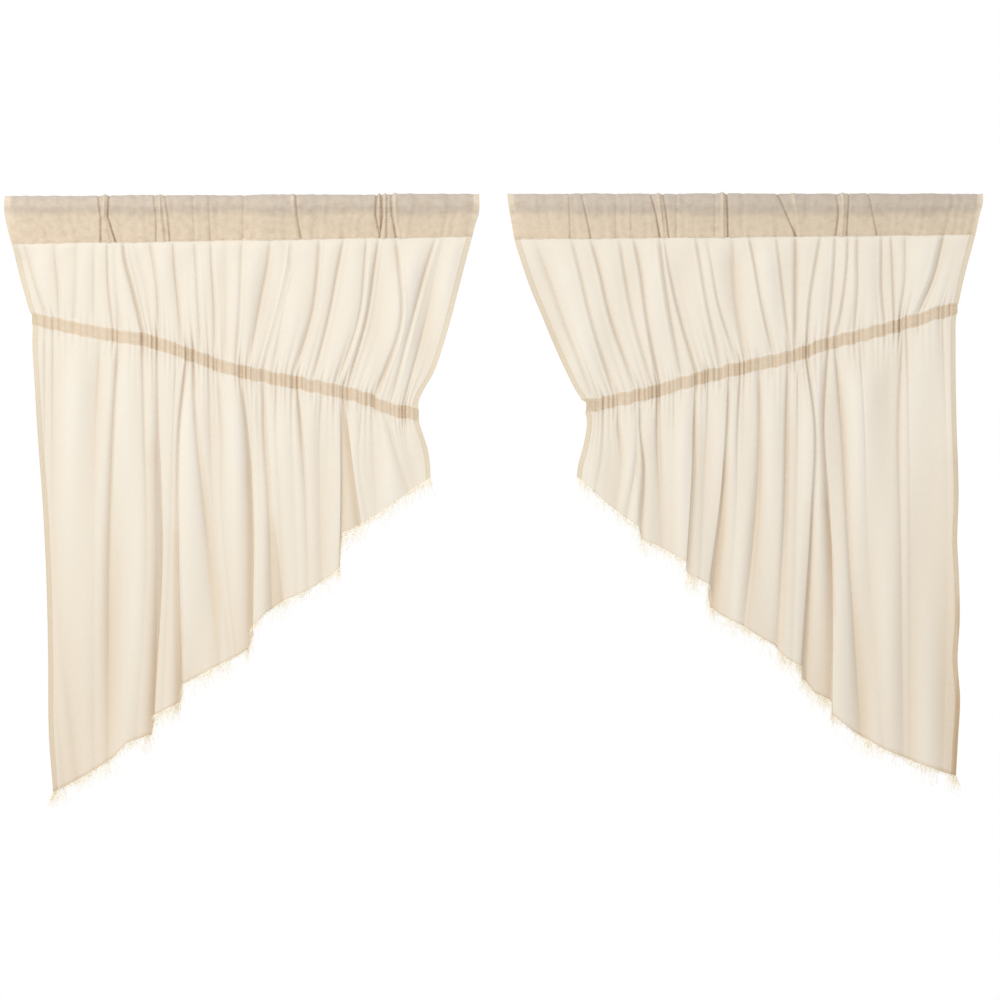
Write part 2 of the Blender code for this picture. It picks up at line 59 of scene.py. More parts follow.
world = bpy.data.worlds.new("white_room")
world.use_nodes = True
room = world.node_tree
lit = room.nodes["Background"]
seen = room.nodes.new("ShaderNodeBackground")
for backdrop, strength in ((lit, ROOM_BRIGHTNESS), (seen, BACKGROUND_BRIGHTNESS)):
    backdrop.inputs["Color"].default_value = (1.0, 1.0, 1.0, 1.0)
    backdrop.inputs["Strength"].default_value = strength
ray = room.nodes.new("ShaderNodeLightPath")
choice = room.nodes.new("ShaderNodeMixShader")
room.links.new(ray.outputs["Is Camera Ray"], choice.inputs[0])
room.links.new(lit.outputs[0], choice.inputs[1])
room.links.new(seen.outputs[0], choice.inputs[2])
room.links.new(choice.outputs[0], room.nodes["World Output"].inputs["Surface"])
bpy.context.scene.world = world
bpy.context.scene.view_settings.view_transform = "Standard"

camera_data = bpy.data.cameras.new("studio_camera")
camera_data.sensor_width = 36.0
camera_data.lens = camera_data.sensor_width * VIEW_DISTANCE / (FRAME_PIXELS * PIXEL)
camera = bpy.data.objects.new("studio_camera", camera_data)
camera.location = (
    (FRAME_PIXELS / 2 - MIDDLE_PIXEL) * PIXEL,
    -VIEW_DISTANCE,
    (ROD_PIXEL - FRAME_PIXELS / 2) * PIXEL,
)
camera.rotation_euler = (math.radians(90), 0.0, 0.0)
bpy.context.scene.collection.objects.link(camera)
bpy.context.scene.camera = camera

lamp_data = bpy.data.lights.new("soft_lamp", "AREA")
lamp_data.shape = "SQUARE"
lamp_data.size = LAMP_SIZE
lamp_data.energy = LAMP_POWER
lamp = bpy.data.objects.new("soft_lamp", lamp_data)
lamp.location = LAMP_PLACE
aim = np.array(LAMP_AIM) - np.array(LAMP_PLACE)
lamp.rotation_euler = (
    math.acos(-aim[2] / np.linalg.norm(aim)),
    0.0,
    math.atan2(aim[1], aim[0]) - math.pi / 2,
)
bpy.context.scene.collection.objects.link(lamp)


class Signal:
    """A socket in a material, so that its sums read as plain sums."""

    def __init__(self, socket):
        self.socket = socket

    def work(self, operation, *values):
        node = self.socket.id_data.nodes.new("ShaderNodeMath")
        node.operation = operation
        for place, value in enumerate(values):
            if isinstance(value, Signal):
                self.socket.id_data.links.new(value.socket, node.inputs[place])
            else:
                node.inputs[place].default_value = value
        return Signal(node.outputs[0])

    def __add__(self, other):
        return self.work("ADD", self, other)

    def __sub__(self, other):
        return self.work("SUBTRACT", self, other)

    def __rsub__(self, other):
        return self.work("SUBTRACT", other, self)

    def __mul__(self, other):
        return self.work("MULTIPLY", self, other)

    __radd__ = __add__
    __rmul__ = __mul__


class Finish:
    """A material under construction, with one method for all its nodes."""

    def __init__(self, name):
        self.material = bpy.data.materials.new(name)
        self.material.use_nodes = True
        self.tree = self.material.node_tree
        self.tree.nodes.clear()

    def node(self, kind, settings=None, sockets=None, output=0):
        made = self.tree.nodes.new(kind)
        for name, value in (settings or {}).items():
            setattr(made, name, value)
        for name, value in (sockets or {}).items():
            if isinstance(value, Signal):
                self.tree.links.new(value.socket, made.inputs[name])
            else:
                made.inputs[name].default_value = value
        return Signal(made.outputs[output])

    def blend(self, share, first, second):
        """A colour between two, by share."""
        made = self.tree.nodes.new("ShaderNodeMix")
        made.data_type = "RGBA"
        for place, value in ((0, share), (6, first), (7, second)):
            if isinstance(value, Signal):
                self.tree.links.new(value.socket, made.inputs[place])
            elif place:
                made.inputs[place].default_value = (*value, 1.0)
            else:
                made.inputs[place].default_value = value
        return Signal(made.outputs[2])

    def mottle(self, first, second, scale, detail):
        """A colour that wanders between two over the piece."""
        place = self.node("ShaderNodeTexCoord", output=3)
        clouds = self.node("ShaderNodeTexNoise", None, {"Vector": place, "Scale": scale, "Detail": detail})
        return self.blend(clouds, first, second)

    def close(self, shader):
        """Ends the material with this shader."""
        end = self.tree.nodes.new("ShaderNodeOutputMaterial")
        self.tree.links.new(shader.socket, end.inputs["Surface"])
        return self.material


def mottled(name, first, second, scale, detail, roughness):
    """A plain matt surface whose colour wanders between two."""
    finish = Finish(name)
    colour = finish.mottle(first, second, scale, detail)
    front = finish.node("ShaderNodeBsdfPrincipled", None, {"Base Color": colour, "Roughness": roughness})
    return finish.close(front)


def add_mesh(name, points, faces, material, smooth=True):
    """A new object at the origin with this mesh and material."""
    mesh = bpy.data.meshes.new(name)
    mesh.from_pydata([tuple(point) for point in points], [], faces)
    mesh.materials.append(material)
    if smooth:
        mesh.shade_smooth()
    made = bpy.data.objects.new(name, mesh)
    bpy.context.scene.collection.objects.link(made)
    return made


floor = add_mesh(
    "studio_floor",
    [(x * FLOOR_HALF, y * FLOOR_HALF, -FLOOR_DROP) for x, y in ((-1, -1), (1, -1), (1, 1), (-1, 1))],
    [(0, 1, 2, 3)],
    mottled("floor_paint", (0.873, 0.873, 0.8633), (0.9, 0.9, 0.89), 3.0, 3.0, 0.85),
    smooth=False,
)


# The two cloth panels. Each is one piece of thin unbleached plain-weave cotton, cut square across
# the top and on a slant below, with its side edges turned in. It is gathered on the rod and again
# on a slanting tape, and falls from the tape in uneven folds.
INCH = 0.0254
CUT_WIDTH = 36 * INCH
HALF_SPAN = 0.7445
TAPE_WIDTH = 0.020
SIDE_HEM = 0.011
COLUMN_STEP = 0.00135
UPPER_ROWS = 54
TAPE_ROWS = 4
LOWER_ROWS = 104
TAPE_EDGES = slice(UPPER_ROWS - 1, UPPER_ROWS + TAPE_ROWS + 1)
TAPE_INSIDE = slice(UPPER_ROWS, UPPER_ROWS + TAPE_ROWS)

# across is measured from the panel's top outer corner towards the window's middle, and drop down
# from the rod's axis.
Place = namedtuple("Place", "across drop")


def line_through(*pairs):
    """A line of places, from pairs of across and drop."""
    return [Place(*pair) for pair in pairs]

# line says where a fold crosses the panel at the shares FOLD_SHARES of its zone's height. depth is
# how far it sinks there, and a ridge stands out. flanks are the widths of its outer and its inner
# side. strength is how much of the depth it has at each share. lap is how far its steep side
# doubles back over itself at the bottom.
FOLD_SHARES = (0.0, 0.2, 0.5, 1.0)
Fold = namedtuple("Fold", "line depth flanks strength lap", defaults=(0.0,))

# A pleat is a small upright pinch in the rod pocket, at the top, half way down and at the seam.
Pleat = namedtuple("Pleat", "top middle seam height half")

# A doubled strip is a darker, warmer band beside a fold: partly where the cloth laps behind itself
# and shows through, partly painted shade in the fold's valley, and on the right panel's outer edge a
# painted shadow under the hem's curl. It runs between two lines at three drops, and amount says how
# dark and warm it is at each line.
Doubled = namedtuple("Doubled", "drops outer inner amount")

# side is -1 on the left and 1 on the right. seam is the drop of the pocket's seam at its outer and
# its inner end, and bunches are the places on the tape where the gathers crowd together.
Panel = namedtuple(
    "Panel",
    "name side seam outer_edge inner_edge tape bunches hem upper_folds lower_folds pleats doubled",
)

EVEN = (1.0, 1.0, 1.0, 1.0)
GROWING = (0.45, 0.8, 1.0, 1.0)
STEADY = (0.8, 1.0, 1.0, 1.0)
FADING = (1.0, 0.9, 0.6, 0.1)
SHORT = (1.0, 0.45, 0.0, 0.0)
NEAR_TAPE = (0.0, 0.0, 0.35, 1.0)

LEFT = Panel(
    name="left",
    side=-1,
    seam=(0.061, 0.050),
    outer_edge=line_through(
        (0.000, -0.015), (0.000, 0.015), (0.005, 0.043), (0.012, 0.070), (0.021, 0.108),
        (0.034, 0.154), (0.040, 0.174), (0.041, 0.215), (0.045, 0.283), (0.049, 0.352),
        (0.056, 0.451), (0.062, 0.573), (0.065, 0.695), (0.067, 0.817), (0.073, 0.893),
    ),
    inner_edge=line_through(
        (0.722, -0.015), (0.722, 0.003), (0.721, 0.015), (0.717, 0.027), (0.710, 0.055),
        (0.702, 0.085), (0.690, 0.131), (0.679, 0.174), (0.667, 0.215), (0.650, 0.261),
        (0.637, 0.283), (0.630, 0.299), (0.629, 0.314), (0.630, 0.329), (0.637, 0.352),
        (0.644, 0.375), (0.647, 0.398), (0.648, 0.415),
    ),
    tape=line_through(
        (0.0405, 0.175), (0.090, 0.186), (0.162, 0.200), (0.215, 0.208), (0.279, 0.229),
        (0.332, 0.248), (0.396, 0.263), (0.477, 0.279), (0.552, 0.298), (0.591, 0.314),
        (0.630, 0.320),
    ),
    bunches=(0.228, 0.278, 0.312, 0.368, 0.437, 0.507, 0.558, 0.609),
    hem=line_through(
        (0.075, 0.896), (0.124, 0.870), (0.162, 0.846), (0.186, 0.821), (0.2095, 0.8125),
        (0.2215, 0.809), (0.2250, 0.781), (0.249, 0.768), (0.2645, 0.761), (0.2685, 0.733),
        (0.309, 0.711), (0.3566, 0.687), (0.3700, 0.678), (0.3765, 0.645), (0.397, 0.623),
        (0.423, 0.605), (0.458, 0.590), (0.494, 0.567), (0.5095, 0.552), (0.5125, 0.502),
        (0.540, 0.489), (0.577, 0.4656), (0.613, 0.440), (0.649, 0.416),
    ),
    upper_folds=(
        Fold((0.0282, 0.034, 0.0427, 0.0617), 0.0026, (0.006, 0.010), GROWING),
        Fold((0.0739, 0.076, 0.0791, 0.0816), 0.0030, (0.006, 0.012), GROWING),
        Fold((0.1082, 0.108, 0.1075, 0.1059), 0.0016, (0.010, 0.010), GROWING),
        Fold((0.1349, 0.135, 0.1349, 0.1349), 0.0016, (0.010, 0.010), GROWING),
        Fold((0.1547, 0.155, 0.1562, 0.1639), 0.0036, (0.006, 0.008), STEADY),
        Fold((0.1680, 0.168, 0.1690, 0.1740), 0.0024, (0.004, 0.006), NEAR_TAPE),
        Fold((0.1788, 0.182, 0.1928, 0.2100), 0.0068, (0.012, 0.008), STEADY),
        Fold((0.1908, 0.198, 0.2090, 0.2215), -0.0040, (0.009, 0.010), STEADY),
        Fold((0.2203, 0.225, 0.2310, 0.2330), 0.0042, (0.007, 0.012), STEADY),
        Fold((0.2553, 0.257, 0.2614, 0.2690), 0.0040, (0.008, 0.010), STEADY),
        Fold((0.2881, 0.290, 0.2930, 0.2980), 0.0034, (0.008, 0.010), STEADY),
        Fold((0.3125, 0.314, 0.3172, 0.3193), 0.0034, (0.006, 0.010), STEADY),
        Fold((0.3361, 0.336, 0.3361, 0.3350), 0.0026, (0.008, 0.008), NEAR_TAPE),
        Fold((0.3605, 0.359, 0.3575, 0.3513), 0.0034, (0.010, 0.007), STEADY),
        Fold((0.4040, 0.399, 0.3879, 0.3711), 0.0040, (0.012, 0.007), STEADY),
        Fold((0.4321, 0.428, 0.4150, 0.3870), -0.0042, (0.010, 0.009), STEADY),
        Fold((0.4200, 0.436, 0.4250, 0.4080), 0.0030, (0.008, 0.008), NEAR_TAPE),
        Fold((0.4787, 0.476, 0.4687, 0.4397), 0.0052, (0.012, 0.007), STEADY),
        Fold((0.5159, 0.507, 0.4950, 0.4687), 0.0048, (0.012, 0.008), STEADY),
        Fold((0.5502, 0.547, 0.5403, 0.5052), 0.0040, (0.008, 0.010), STEADY),
        Fold((0.5689, 0.562, 0.5520, 0.5200), 0.0056, (0.010, 0.007), STEADY),
        Fold((0.5951, 0.600, 0.6040, 0.5646), 0.0060, (0.014, 0.008), STEADY),
        Fold((0.6561, 0.640, 0.6200, 0.5875), 0.0048, (0.012, 0.009), STEADY),
        Fold((0.6680, 0.656, 0.6400, 0.6060), 0.0030, (0.008, 0.008), NEAR_TAPE),
    ),
    lower_folds=(
        Fold((0.0595, 0.0600, 0.060, 0.090), 0.0028, (0.006, 0.006), SHORT),
        Fold((0.0724, 0.0720, 0.074, 0.110), 0.0024, (0.006, 0.006), SHORT),
        Fold((0.1440, 0.1380, 0.136, 0.136), 0.0026, (0.010, 0.010), SHORT),
        Fold((0.1715, 0.1640, 0.158, 0.158), 0.0062, (0.014, 0.010), FADING),
        Fold((0.2081, 0.2110, 0.216, 0.200), 0.0034, (0.008, 0.008), (0.9, 0.8, 0.2, 0.0)),
        Fold((0.2309, 0.2320, 0.237, 0.2240), 0.0070, (0.018, 0.004), GROWING, 0.0022),
        Fold((0.2599, 0.2560, 0.252, 0.240), 0.0026, (0.006, 0.006), SHORT),
        Fold((0.2766, 0.2650, 0.2614, 0.2670), 0.0076, (0.018, 0.004), STEADY, 0.0024),
        Fold((0.2858, 0.2900, 0.304, 0.327), 0.0046, (0.010, 0.014), (1.0, 1.0, 0.9, 0.1)),
        Fold((0.3117, 0.3120, 0.318, 0.345), 0.0030, (0.006, 0.006), SHORT),
        Fold((0.3239, 0.3290, 0.332, 0.352), 0.0034, (0.008, 0.008), (1.0, 0.7, 0.15, 0.0)),
        Fold((0.3589, 0.3680, 0.375, 0.3745), 0.0080, (0.020, 0.004), STEADY, 0.0024),
        Fold((0.3787, 0.3810, 0.3848, 0.386), -0.0034, (0.008, 0.012), STEADY),
        Fold((0.3932, 0.3935, 0.4008, 0.4060), 0.0052, (0.010, 0.016), STEADY),
        Fold((0.4123, 0.4123, 0.418, 0.424), 0.0028, (0.006, 0.006), SHORT),
        Fold((0.4360, 0.4360, 0.440, 0.446), 0.0028, (0.006, 0.006), SHORT),
        Fold((0.4443, 0.4500, 0.457, 0.462), 0.0048, (0.012, 0.008), FADING),
        Fold((0.4824, 0.4790, 0.479, 0.482), 0.0030, (0.008, 0.008), SHORT),
        Fold((0.5115, 0.5120, 0.5128, 0.5110), 0.0060, (0.004, 0.026), GROWING, 0.0020),
        Fold((0.5165, 0.5200, 0.5260, 0.5395), 0.0062, (0.020, 0.005), STEADY, 0.0012),
        Fold((0.5429, 0.5410, 0.5390, 0.552), 0.0034, (0.007, 0.007), SHORT),
        Fold((0.5600, 0.5600, 0.5620, 0.566), 0.0026, (0.006, 0.006), SHORT),
        Fold((0.5780, 0.5850, 0.5951, 0.615), 0.0034, (0.010, 0.012), (0.4, 0.8, 1.0, 0.3)),
        Fold((0.6088, 0.6088, 0.6140, 0.629), 0.0028, (0.006, 0.006), SHORT),
    ),
    pleats=(
        Pleat(0.1418, 0.1459, 0.1450, -0.0030, 0.0030),
        Pleat(0.1520, 0.1510, 0.1580, 0.0042, 0.0040),
        Pleat(0.1590, 0.1572, 0.1680, -0.0042, 0.0030),
        Pleat(0.2263, 0.2304, 0.2295, -0.0022, 0.0030),
        Pleat(0.2360, 0.2370, 0.2400, 0.0036, 0.0040),
        Pleat(0.2361, 0.2411, 0.2440, -0.0012, 0.0026),
        Pleat(0.2436, 0.2484, 0.2507, -0.0024, 0.0030),
        Pleat(0.2858, 0.2870, 0.2880, -0.0012, 0.0040),
        Pleat(0.3102, 0.3110, 0.3120, -0.0012, 0.0040),
        Pleat(0.3635, 0.3625, 0.3610, -0.0012, 0.0040),
        Pleat(0.4428, 0.4450, 0.4504, -0.0026, 0.0032),
        Pleat(0.4380, 0.4400, 0.4440, 0.0022, 0.0040),
        Pleat(0.5657, 0.5642, 0.5705, -0.0034, 0.0032),
        Pleat(0.5694, 0.5697, 0.5701, 0.0046, 0.0036),
        Pleat(0.5731, 0.5748, 0.5700, -0.0032, 0.0030),
        Pleat(0.5780, 0.5785, 0.5770, 0.0034, 0.0040),
        Pleat(0.5824, 0.5817, 0.5810, -0.0018, 0.0030),
        Pleat(0.5875, 0.5891, 0.5952, -0.0028, 0.0030),
        Pleat(0.5935, 0.5950, 0.6010, 0.0034, 0.0040),
    ),
    doubled=(
        Doubled((0.299, 0.405, 0.497), (0.5129, 0.5121, 0.5113), (0.5167, 0.5296, 0.5418), (0.30, 0.52)),
        Doubled((0.452, 0.543, 0.604), (0.3960, 0.4000, 0.4046), (0.4070, 0.4168, 0.4229), (0.00, 0.46)),
        Doubled((0.360, 0.497, 0.634), (0.3513, 0.3483, 0.3452), (0.3757, 0.3757, 0.3757), (0.00, 0.34)),
        Doubled((0.329, 0.543, 0.809), (0.2035, 0.2050, 0.2035), (0.2294, 0.2309, 0.2279), (0.00, 0.40)),
        Doubled((0.466, 0.604, 0.741), (0.2431, 0.2462, 0.2477), (0.2675, 0.2690, 0.2675), (0.00, 0.34)),
        Doubled((0.276, 0.451, 0.710), (0.1425, 0.1395, 0.1364), (0.1669, 0.1623, 0.1562), (0.00, 0.16)),
        Doubled((0.268, 0.421, 0.604), (0.2782, 0.2964, 0.3147), (0.2843, 0.3071, 0.3285), (0.10, 0.22)),
    ),
)

RIGHT = Panel(
    name="right",
    side=1,
    seam=(0.0470, 0.0540),
    outer_edge=line_through(
        (0.000, -0.015), (0.002, 0.003), (0.005, 0.015), (0.010, 0.043), (0.017, 0.070),
        (0.027, 0.108), (0.037, 0.154), (0.040, 0.171), (0.041, 0.215), (0.041, 0.261),
        (0.040, 0.329), (0.037, 0.451), (0.039, 0.512), (0.036, 0.573), (0.035, 0.634),
        (0.038, 0.695), (0.034, 0.756), (0.037, 0.817), (0.040, 0.873),
    ),
    inner_edge=line_through(
        (0.724, -0.015), (0.722, 0.003), (0.718, 0.027), (0.713, 0.055), (0.704, 0.085),
        (0.688, 0.131), (0.670, 0.174), (0.653, 0.215), (0.632, 0.261), (0.621, 0.283),
        (0.611, 0.299), (0.607, 0.314), (0.603, 0.329), (0.605, 0.352), (0.610, 0.375),
        (0.616, 0.398), (0.619, 0.421),
    ),
    tape=line_through(
        (0.038, 0.159), (0.064, 0.165), (0.098, 0.176), (0.179, 0.199), (0.239, 0.214),
        (0.293, 0.233), (0.350, 0.246), (0.440, 0.268), (0.500, 0.286), (0.543, 0.296),
        (0.604, 0.309),
    ),
    bunches=(0.057, 0.126, 0.264, 0.362, 0.420, 0.496, 0.583),
    hem=line_through(
        (0.039, 0.873), (0.097, 0.853), (0.152, 0.830), (0.194, 0.806), (0.2290, 0.778),
        (0.2325, 0.756), (0.2560, 0.745), (0.2730, 0.723), (0.2770, 0.705), (0.307, 0.687),
        (0.315, 0.6736), (0.340, 0.659), (0.365, 0.643), (0.399, 0.626), (0.4130, 0.616),
        (0.4165, 0.580), (0.4374, 0.5690), (0.4462, 0.5660), (0.4519, 0.547), (0.4584, 0.541),
        (0.490, 0.523), (0.5190, 0.510), (0.5230, 0.492), (0.549, 0.474), (0.571, 0.457),
        (0.600, 0.430), (0.618, 0.416),
    ),
    upper_folds=(
        Fold((0.0587, 0.064, 0.0732, 0.0975), 0.0064, (0.008, 0.014), EVEN),
        Fold((0.1169, 0.117, 0.1175, 0.1265), 0.0030, (0.007, 0.009), STEADY),
        Fold((0.1387, 0.137, 0.1350, 0.1330), 0.0026, (0.006, 0.007), STEADY),
        Fold((0.1532, 0.153, 0.1532, 0.1490), 0.0034, (0.007, 0.008), STEADY),
        Fold((0.1897, 0.190, 0.1897, 0.1949), 0.0034, (0.008, 0.010), STEADY),
        Fold((0.2044, 0.205, 0.2090, 0.2200), 0.0034, (0.006, 0.008), STEADY),
        Fold((0.2237, 0.225, 0.2280, 0.2355), 0.0036, (0.006, 0.008), STEADY),
        Fold((0.2461, 0.252, 0.2600, 0.2670), 0.0040, (0.010, 0.008), STEADY),
        Fold((0.2845, 0.284, 0.2845, 0.2845), 0.0064, (0.012, 0.010), EVEN),
        Fold((0.3136, 0.309, 0.3030, 0.2925), 0.0034, (0.007, 0.008), STEADY),
        Fold((0.3549, 0.348, 0.3390, 0.3193), 0.0050, (0.012, 0.007), STEADY),
        Fold((0.3805, 0.379, 0.3757, 0.3600), 0.0036, (0.008, 0.008), STEADY),
        Fold((0.4200, 0.413, 0.4030, 0.3732), 0.0034, (0.007, 0.007), (0.1, 0.6, 1.0, 1.0)),
        Fold((0.4366, 0.430, 0.4200, 0.3976), 0.0046, (0.010, 0.008), STEADY),
        Fold((0.4850, 0.478, 0.4650, 0.4366), 0.0044, (0.010, 0.007), (0.2, 0.8, 1.0, 1.0)),
        Fold((0.4915, 0.487, 0.4778, 0.4580), 0.0054, (0.008, 0.010), STEADY),
        Fold((0.5311, 0.522, 0.5130, 0.4930), 0.0052, (0.010, 0.008), STEADY),
        Fold((0.5531, 0.546, 0.5340, 0.5035), 0.0044, (0.008, 0.008), STEADY),
        Fold((0.5967, 0.584, 0.5680, 0.5288), 0.0048, (0.010, 0.008), STEADY),
        Fold((0.6261, 0.614, 0.5970, 0.5604), 0.0046, (0.010, 0.008), STEADY),
        Fold((0.6820, 0.665, 0.6400, 0.5930), 0.0040, (0.010, 0.008), (0.3, 0.8, 1.0, 1.0)),
    ),
    lower_folds=(
        Fold((0.0611, 0.0560, 0.0520, 0.060), 0.0030, (0.006, 0.008), SHORT),
        Fold((0.1151, 0.1120, 0.1100, 0.110), 0.0026, (0.006, 0.005), SHORT),
        Fold((0.1212, 0.1270, 0.1240, 0.120), 0.0044, (0.008, 0.012), (1.0, 1.0, 0.7, 0.1)),
        Fold((0.1867, 0.1800, 0.1740, 0.150), 0.0032, (0.007, 0.007), SHORT),
        Fold((0.2248, 0.2140, 0.2040, 0.184), 0.0050, (0.012, 0.008), (1.0, 1.0, 0.9, 0.2)),
        Fold((0.2355, 0.2410, 0.2324, 0.2310), 0.0078, (0.004, 0.022), STEADY, 0.0022),
        Fold((0.2690, 0.2560, 0.2598, 0.2740), 0.0066, (0.014, 0.004), STEADY, 0.0014),
        Fold((0.2812, 0.2812, 0.2830, 0.290), 0.0030, (0.006, 0.006), (0.9, 0.6, 0.0, 0.0)),
        Fold((0.2969, 0.2987, 0.3010, 0.3125), 0.0060, (0.014, 0.008), (1.0, 1.0, 1.0, 0.8)),
        Fold((0.3400, 0.3390, 0.3430, 0.3635), 0.0058, (0.010, 0.014), (1.0, 1.0, 1.0, 0.7)),
        Fold((0.3696, 0.3726, 0.3740, 0.386), 0.0034, (0.006, 0.006), (1.0, 0.8, 0.2, 0.0)),
        Fold((0.3870, 0.3894, 0.3955, 0.4145), 0.0076, (0.018, 0.004), STEADY, 0.0024),
        Fold((0.4190, 0.4190, 0.4230, 0.430), 0.0028, (0.006, 0.006), SHORT),
        Fold((0.4382, 0.4397, 0.4412, 0.4490), 0.0066, (0.014, 0.004), STEADY, 0.0026),
        Fold((0.4700, 0.4700, 0.4720, 0.474), 0.0022, (0.006, 0.006), SHORT),
        Fold((0.4961, 0.4961, 0.4930, 0.486), 0.0042, (0.010, 0.008), (1.0, 0.9, 0.5, 0.0)),
        Fold((0.5215, 0.5215, 0.5150, 0.5205), 0.0056, (0.008, 0.008), (1.0, 1.0, 1.0, 0.9), 0.001),
        Fold((0.5262, 0.5262, 0.5275, 0.5420), 0.0040, (0.006, 0.008), (0.1, 0.3, 0.9, 0.9)),
        Fold((0.5559, 0.5551, 0.5500, 0.558), 0.0044, (0.008, 0.008), (1.0, 1.0, 0.4, 0.0)),
        Fold((0.5784, 0.5784, 0.5800, 0.590), 0.0030, (0.006, 0.006), SHORT),
        Fold((0.5900, 0.5900, 0.5950, 0.603), 0.0022, (0.006, 0.006), SHORT),
    ),
    pleats=(
        Pleat(0.1753, 0.1684, 0.1608, -0.0022, 0.0034),
        Pleat(0.2044, 0.2056, 0.2068, -0.0026, 0.0032),
        Pleat(0.2140, 0.2130, 0.2150, 0.0034, 0.0044),
        Pleat(0.2237, 0.2202, 0.2237, -0.0028, 0.0032),
        Pleat(0.2900, 0.2830, 0.2780, 0.0020, 0.0050),
        Pleat(0.3136, 0.2995, 0.2842, -0.0034, 0.0034),
        Pleat(0.3903, 0.3891, 0.3879, -0.0038, 0.0030),
        Pleat(0.3970, 0.3960, 0.3950, 0.0036, 0.0040),
        Pleat(0.4084, 0.4084, 0.4084, -0.0012, 0.0040),
        Pleat(0.4671, 0.4671, 0.4671, -0.0012, 0.0040),
        Pleat(0.4875, 0.4823, 0.4780, -0.0030, 0.0030),
        Pleat(0.4950, 0.4900, 0.4860, 0.0040, 0.0040),
        Pleat(0.5067, 0.4976, 0.4915, -0.0032, 0.0032),
        Pleat(0.5361, 0.5361, 0.5361, -0.0010, 0.0040),
        Pleat(0.5592, 0.5592, 0.5592, -0.0010, 0.0040),
        Pleat(0.6119, 0.6043, 0.5967, -0.0026, 0.0032),
        Pleat(0.6308, 0.6297, 0.6286, -0.0018, 0.0034),
    ),
    doubled=(
        Doubled((0.405, 0.543, 0.768), (0.2400, 0.2278, 0.2309), (0.2507, 0.2522, 0.2614), (0.46, 0.06)),
        Doubled((0.360, 0.512, 0.604), (0.3726, 0.3787, 0.3879), (0.3955, 0.4031, 0.4138), (0.00, 0.40)),
        Doubled((0.299, 0.436, 0.558), (0.4275, 0.4244, 0.4321), (0.4427, 0.4381, 0.4473), (0.00, 0.28)),
        Doubled((0.329, 0.482, 0.645), (0.3269, 0.3284, 0.3376), (0.3376, 0.3421, 0.3604), (0.00, 0.28)),
        Doubled((0.299, 0.501, 0.681), (0.2781, 0.2812, 0.2858), (0.2964, 0.3010, 0.3056), (0.00, 0.26)),
        Doubled((0.421, 0.543, 0.719), (0.2553, 0.2598, 0.2675), (0.2751, 0.2797, 0.2858), (0.26, 0.00)),
        Doubled((0.344, 0.543, 0.847), (0.0373, 0.0373, 0.0373), (0.0922, 0.0922, 0.0922), (0.26, 0.00)),
        Doubled((0.344, 0.413, 0.482), (0.5128, 0.5143, 0.5159), (0.5235, 0.5281, 0.5235), (0.20, 0.30)),
        # Painted shadow along the outer edge, under the hem's curl.
        Doubled((0.570, 0.710, 0.873), (0.0300, 0.0300, 0.0340), (0.0390, 0.0385, 0.0440), (0.90, 0.50)),
    ),
)


def smooth_line(xs, ys):
    """A smooth function through the points at xs with the values ys, level past both ends."""
    xs, ys = np.asarray(xs), np.asarray(ys)
    slopes = np.gradient(ys, xs)

    def read(x):
        x = np.clip(x, xs[0], xs[-1])
        i = np.clip(np.searchsorted(xs, x) - 1, 0, len(xs) - 2)
        span = xs[i + 1] - xs[i]
        t = (x - xs[i]) / span
        return (
            ys[i] * (1 + 2 * t) * (1 - t) ** 2
            + ys[i + 1] * t * t * (3 - 2 * t)
            + slopes[i] * span * t * (1 - t) ** 2
            - slopes[i + 1] * span * t * t * (1 - t)
        )

    return read


def smooth_step(t):
    t = np.clip(t, 0, 1)
    return t * t * (3 - 2 * t)


# How the cloth lies in its folds and gathers. Reaches, offsets, steps and half widths are in metres.
# The others are shares of a depth, of a width or of the height above or below the tape, and powers.
FOLD_ROUNDING = 0.003
FOLD_ROUNDING_SHIFT = 0.055
FOLD_OFFSETS = (-0.0004, 0.0, 0.0004)
LAP_OFFSETS = np.arange(-0.0048, 0.0049, 0.0008)
LEAST_STEP = 0.0003
CARRIED_REACH = 0.040
CARRIED_WIDTH = 0.7
CARRIED_DEPTH = 0.6
CARRIED_SHARPNESS = 3.4
CALM_AT_TAPE = 0.4
RIDGE_PLACE = 0.9
RIDGE_HEIGHT = 0.4
RIDGE_WIDTH = 0.7
RIDGE_SHARPNESS = 2.0
LAP_START = 0.15
LAP_GROWS_OVER = 0.5
SWELL_MOST = 0.0032
SWELL_SHARE = 0.085
SWELL_ROUNDNESS = 1.2
BUNCH_HALF = 0.014
GATHER_FADE = 1.2
GATHER_WIDENS_OVER = 0.05
GATHER_SHARPNESS = 2.3
SEAM_CALM = 0.30
SEAM_CALM_UNTIL = 0.07
EDGE_CALM = 0.25
EDGE_START = 0.004
EDGE_REACH = 0.02
WAVE_REACH = 0.10
WAVE_START = 0.3
TAPE_WOBBLE = 0.22
TAPE_CALM = 0.45
MERGE_REACH = 0.004
HEM_CLOSER = 1.15
GATHER_SEED = 29
WAVE_SEED = 5
NICK_SEED = 13

# How folds differ above and below the tape: the zone across the tape and the share of it that meets
# the tape, how much of a fold's depth shows, and how open and how sharp a fold is at the zone's top,
# with what is added down to its bottom.
Zone = namedtuple("Zone", "other meets shows opened sharpness")
ZONES = {
    "upper": Zone("lower", 0.0, 0.72, (0.74, 0.0), (3.6, 0.0)),
    "lower": Zone("upper", 1.0, 0.90, (0.65, 1.05), (3.4, -1.4)),
}


def trough(x, outer, inner, sharpness):
    """How deep a fold is at the distance x from its line: 1 on the line and 0 past its flanks."""
    t = np.where(x < 0, -x / outer, x / inner)
    rounded = np.sqrt(t * t + FOLD_ROUNDING) - FOLD_ROUNDING_SHIFT
    return np.clip(1 - rounded, 0, 1) ** sharpness


def between(first, last, share):
    return first + (last - first) * share


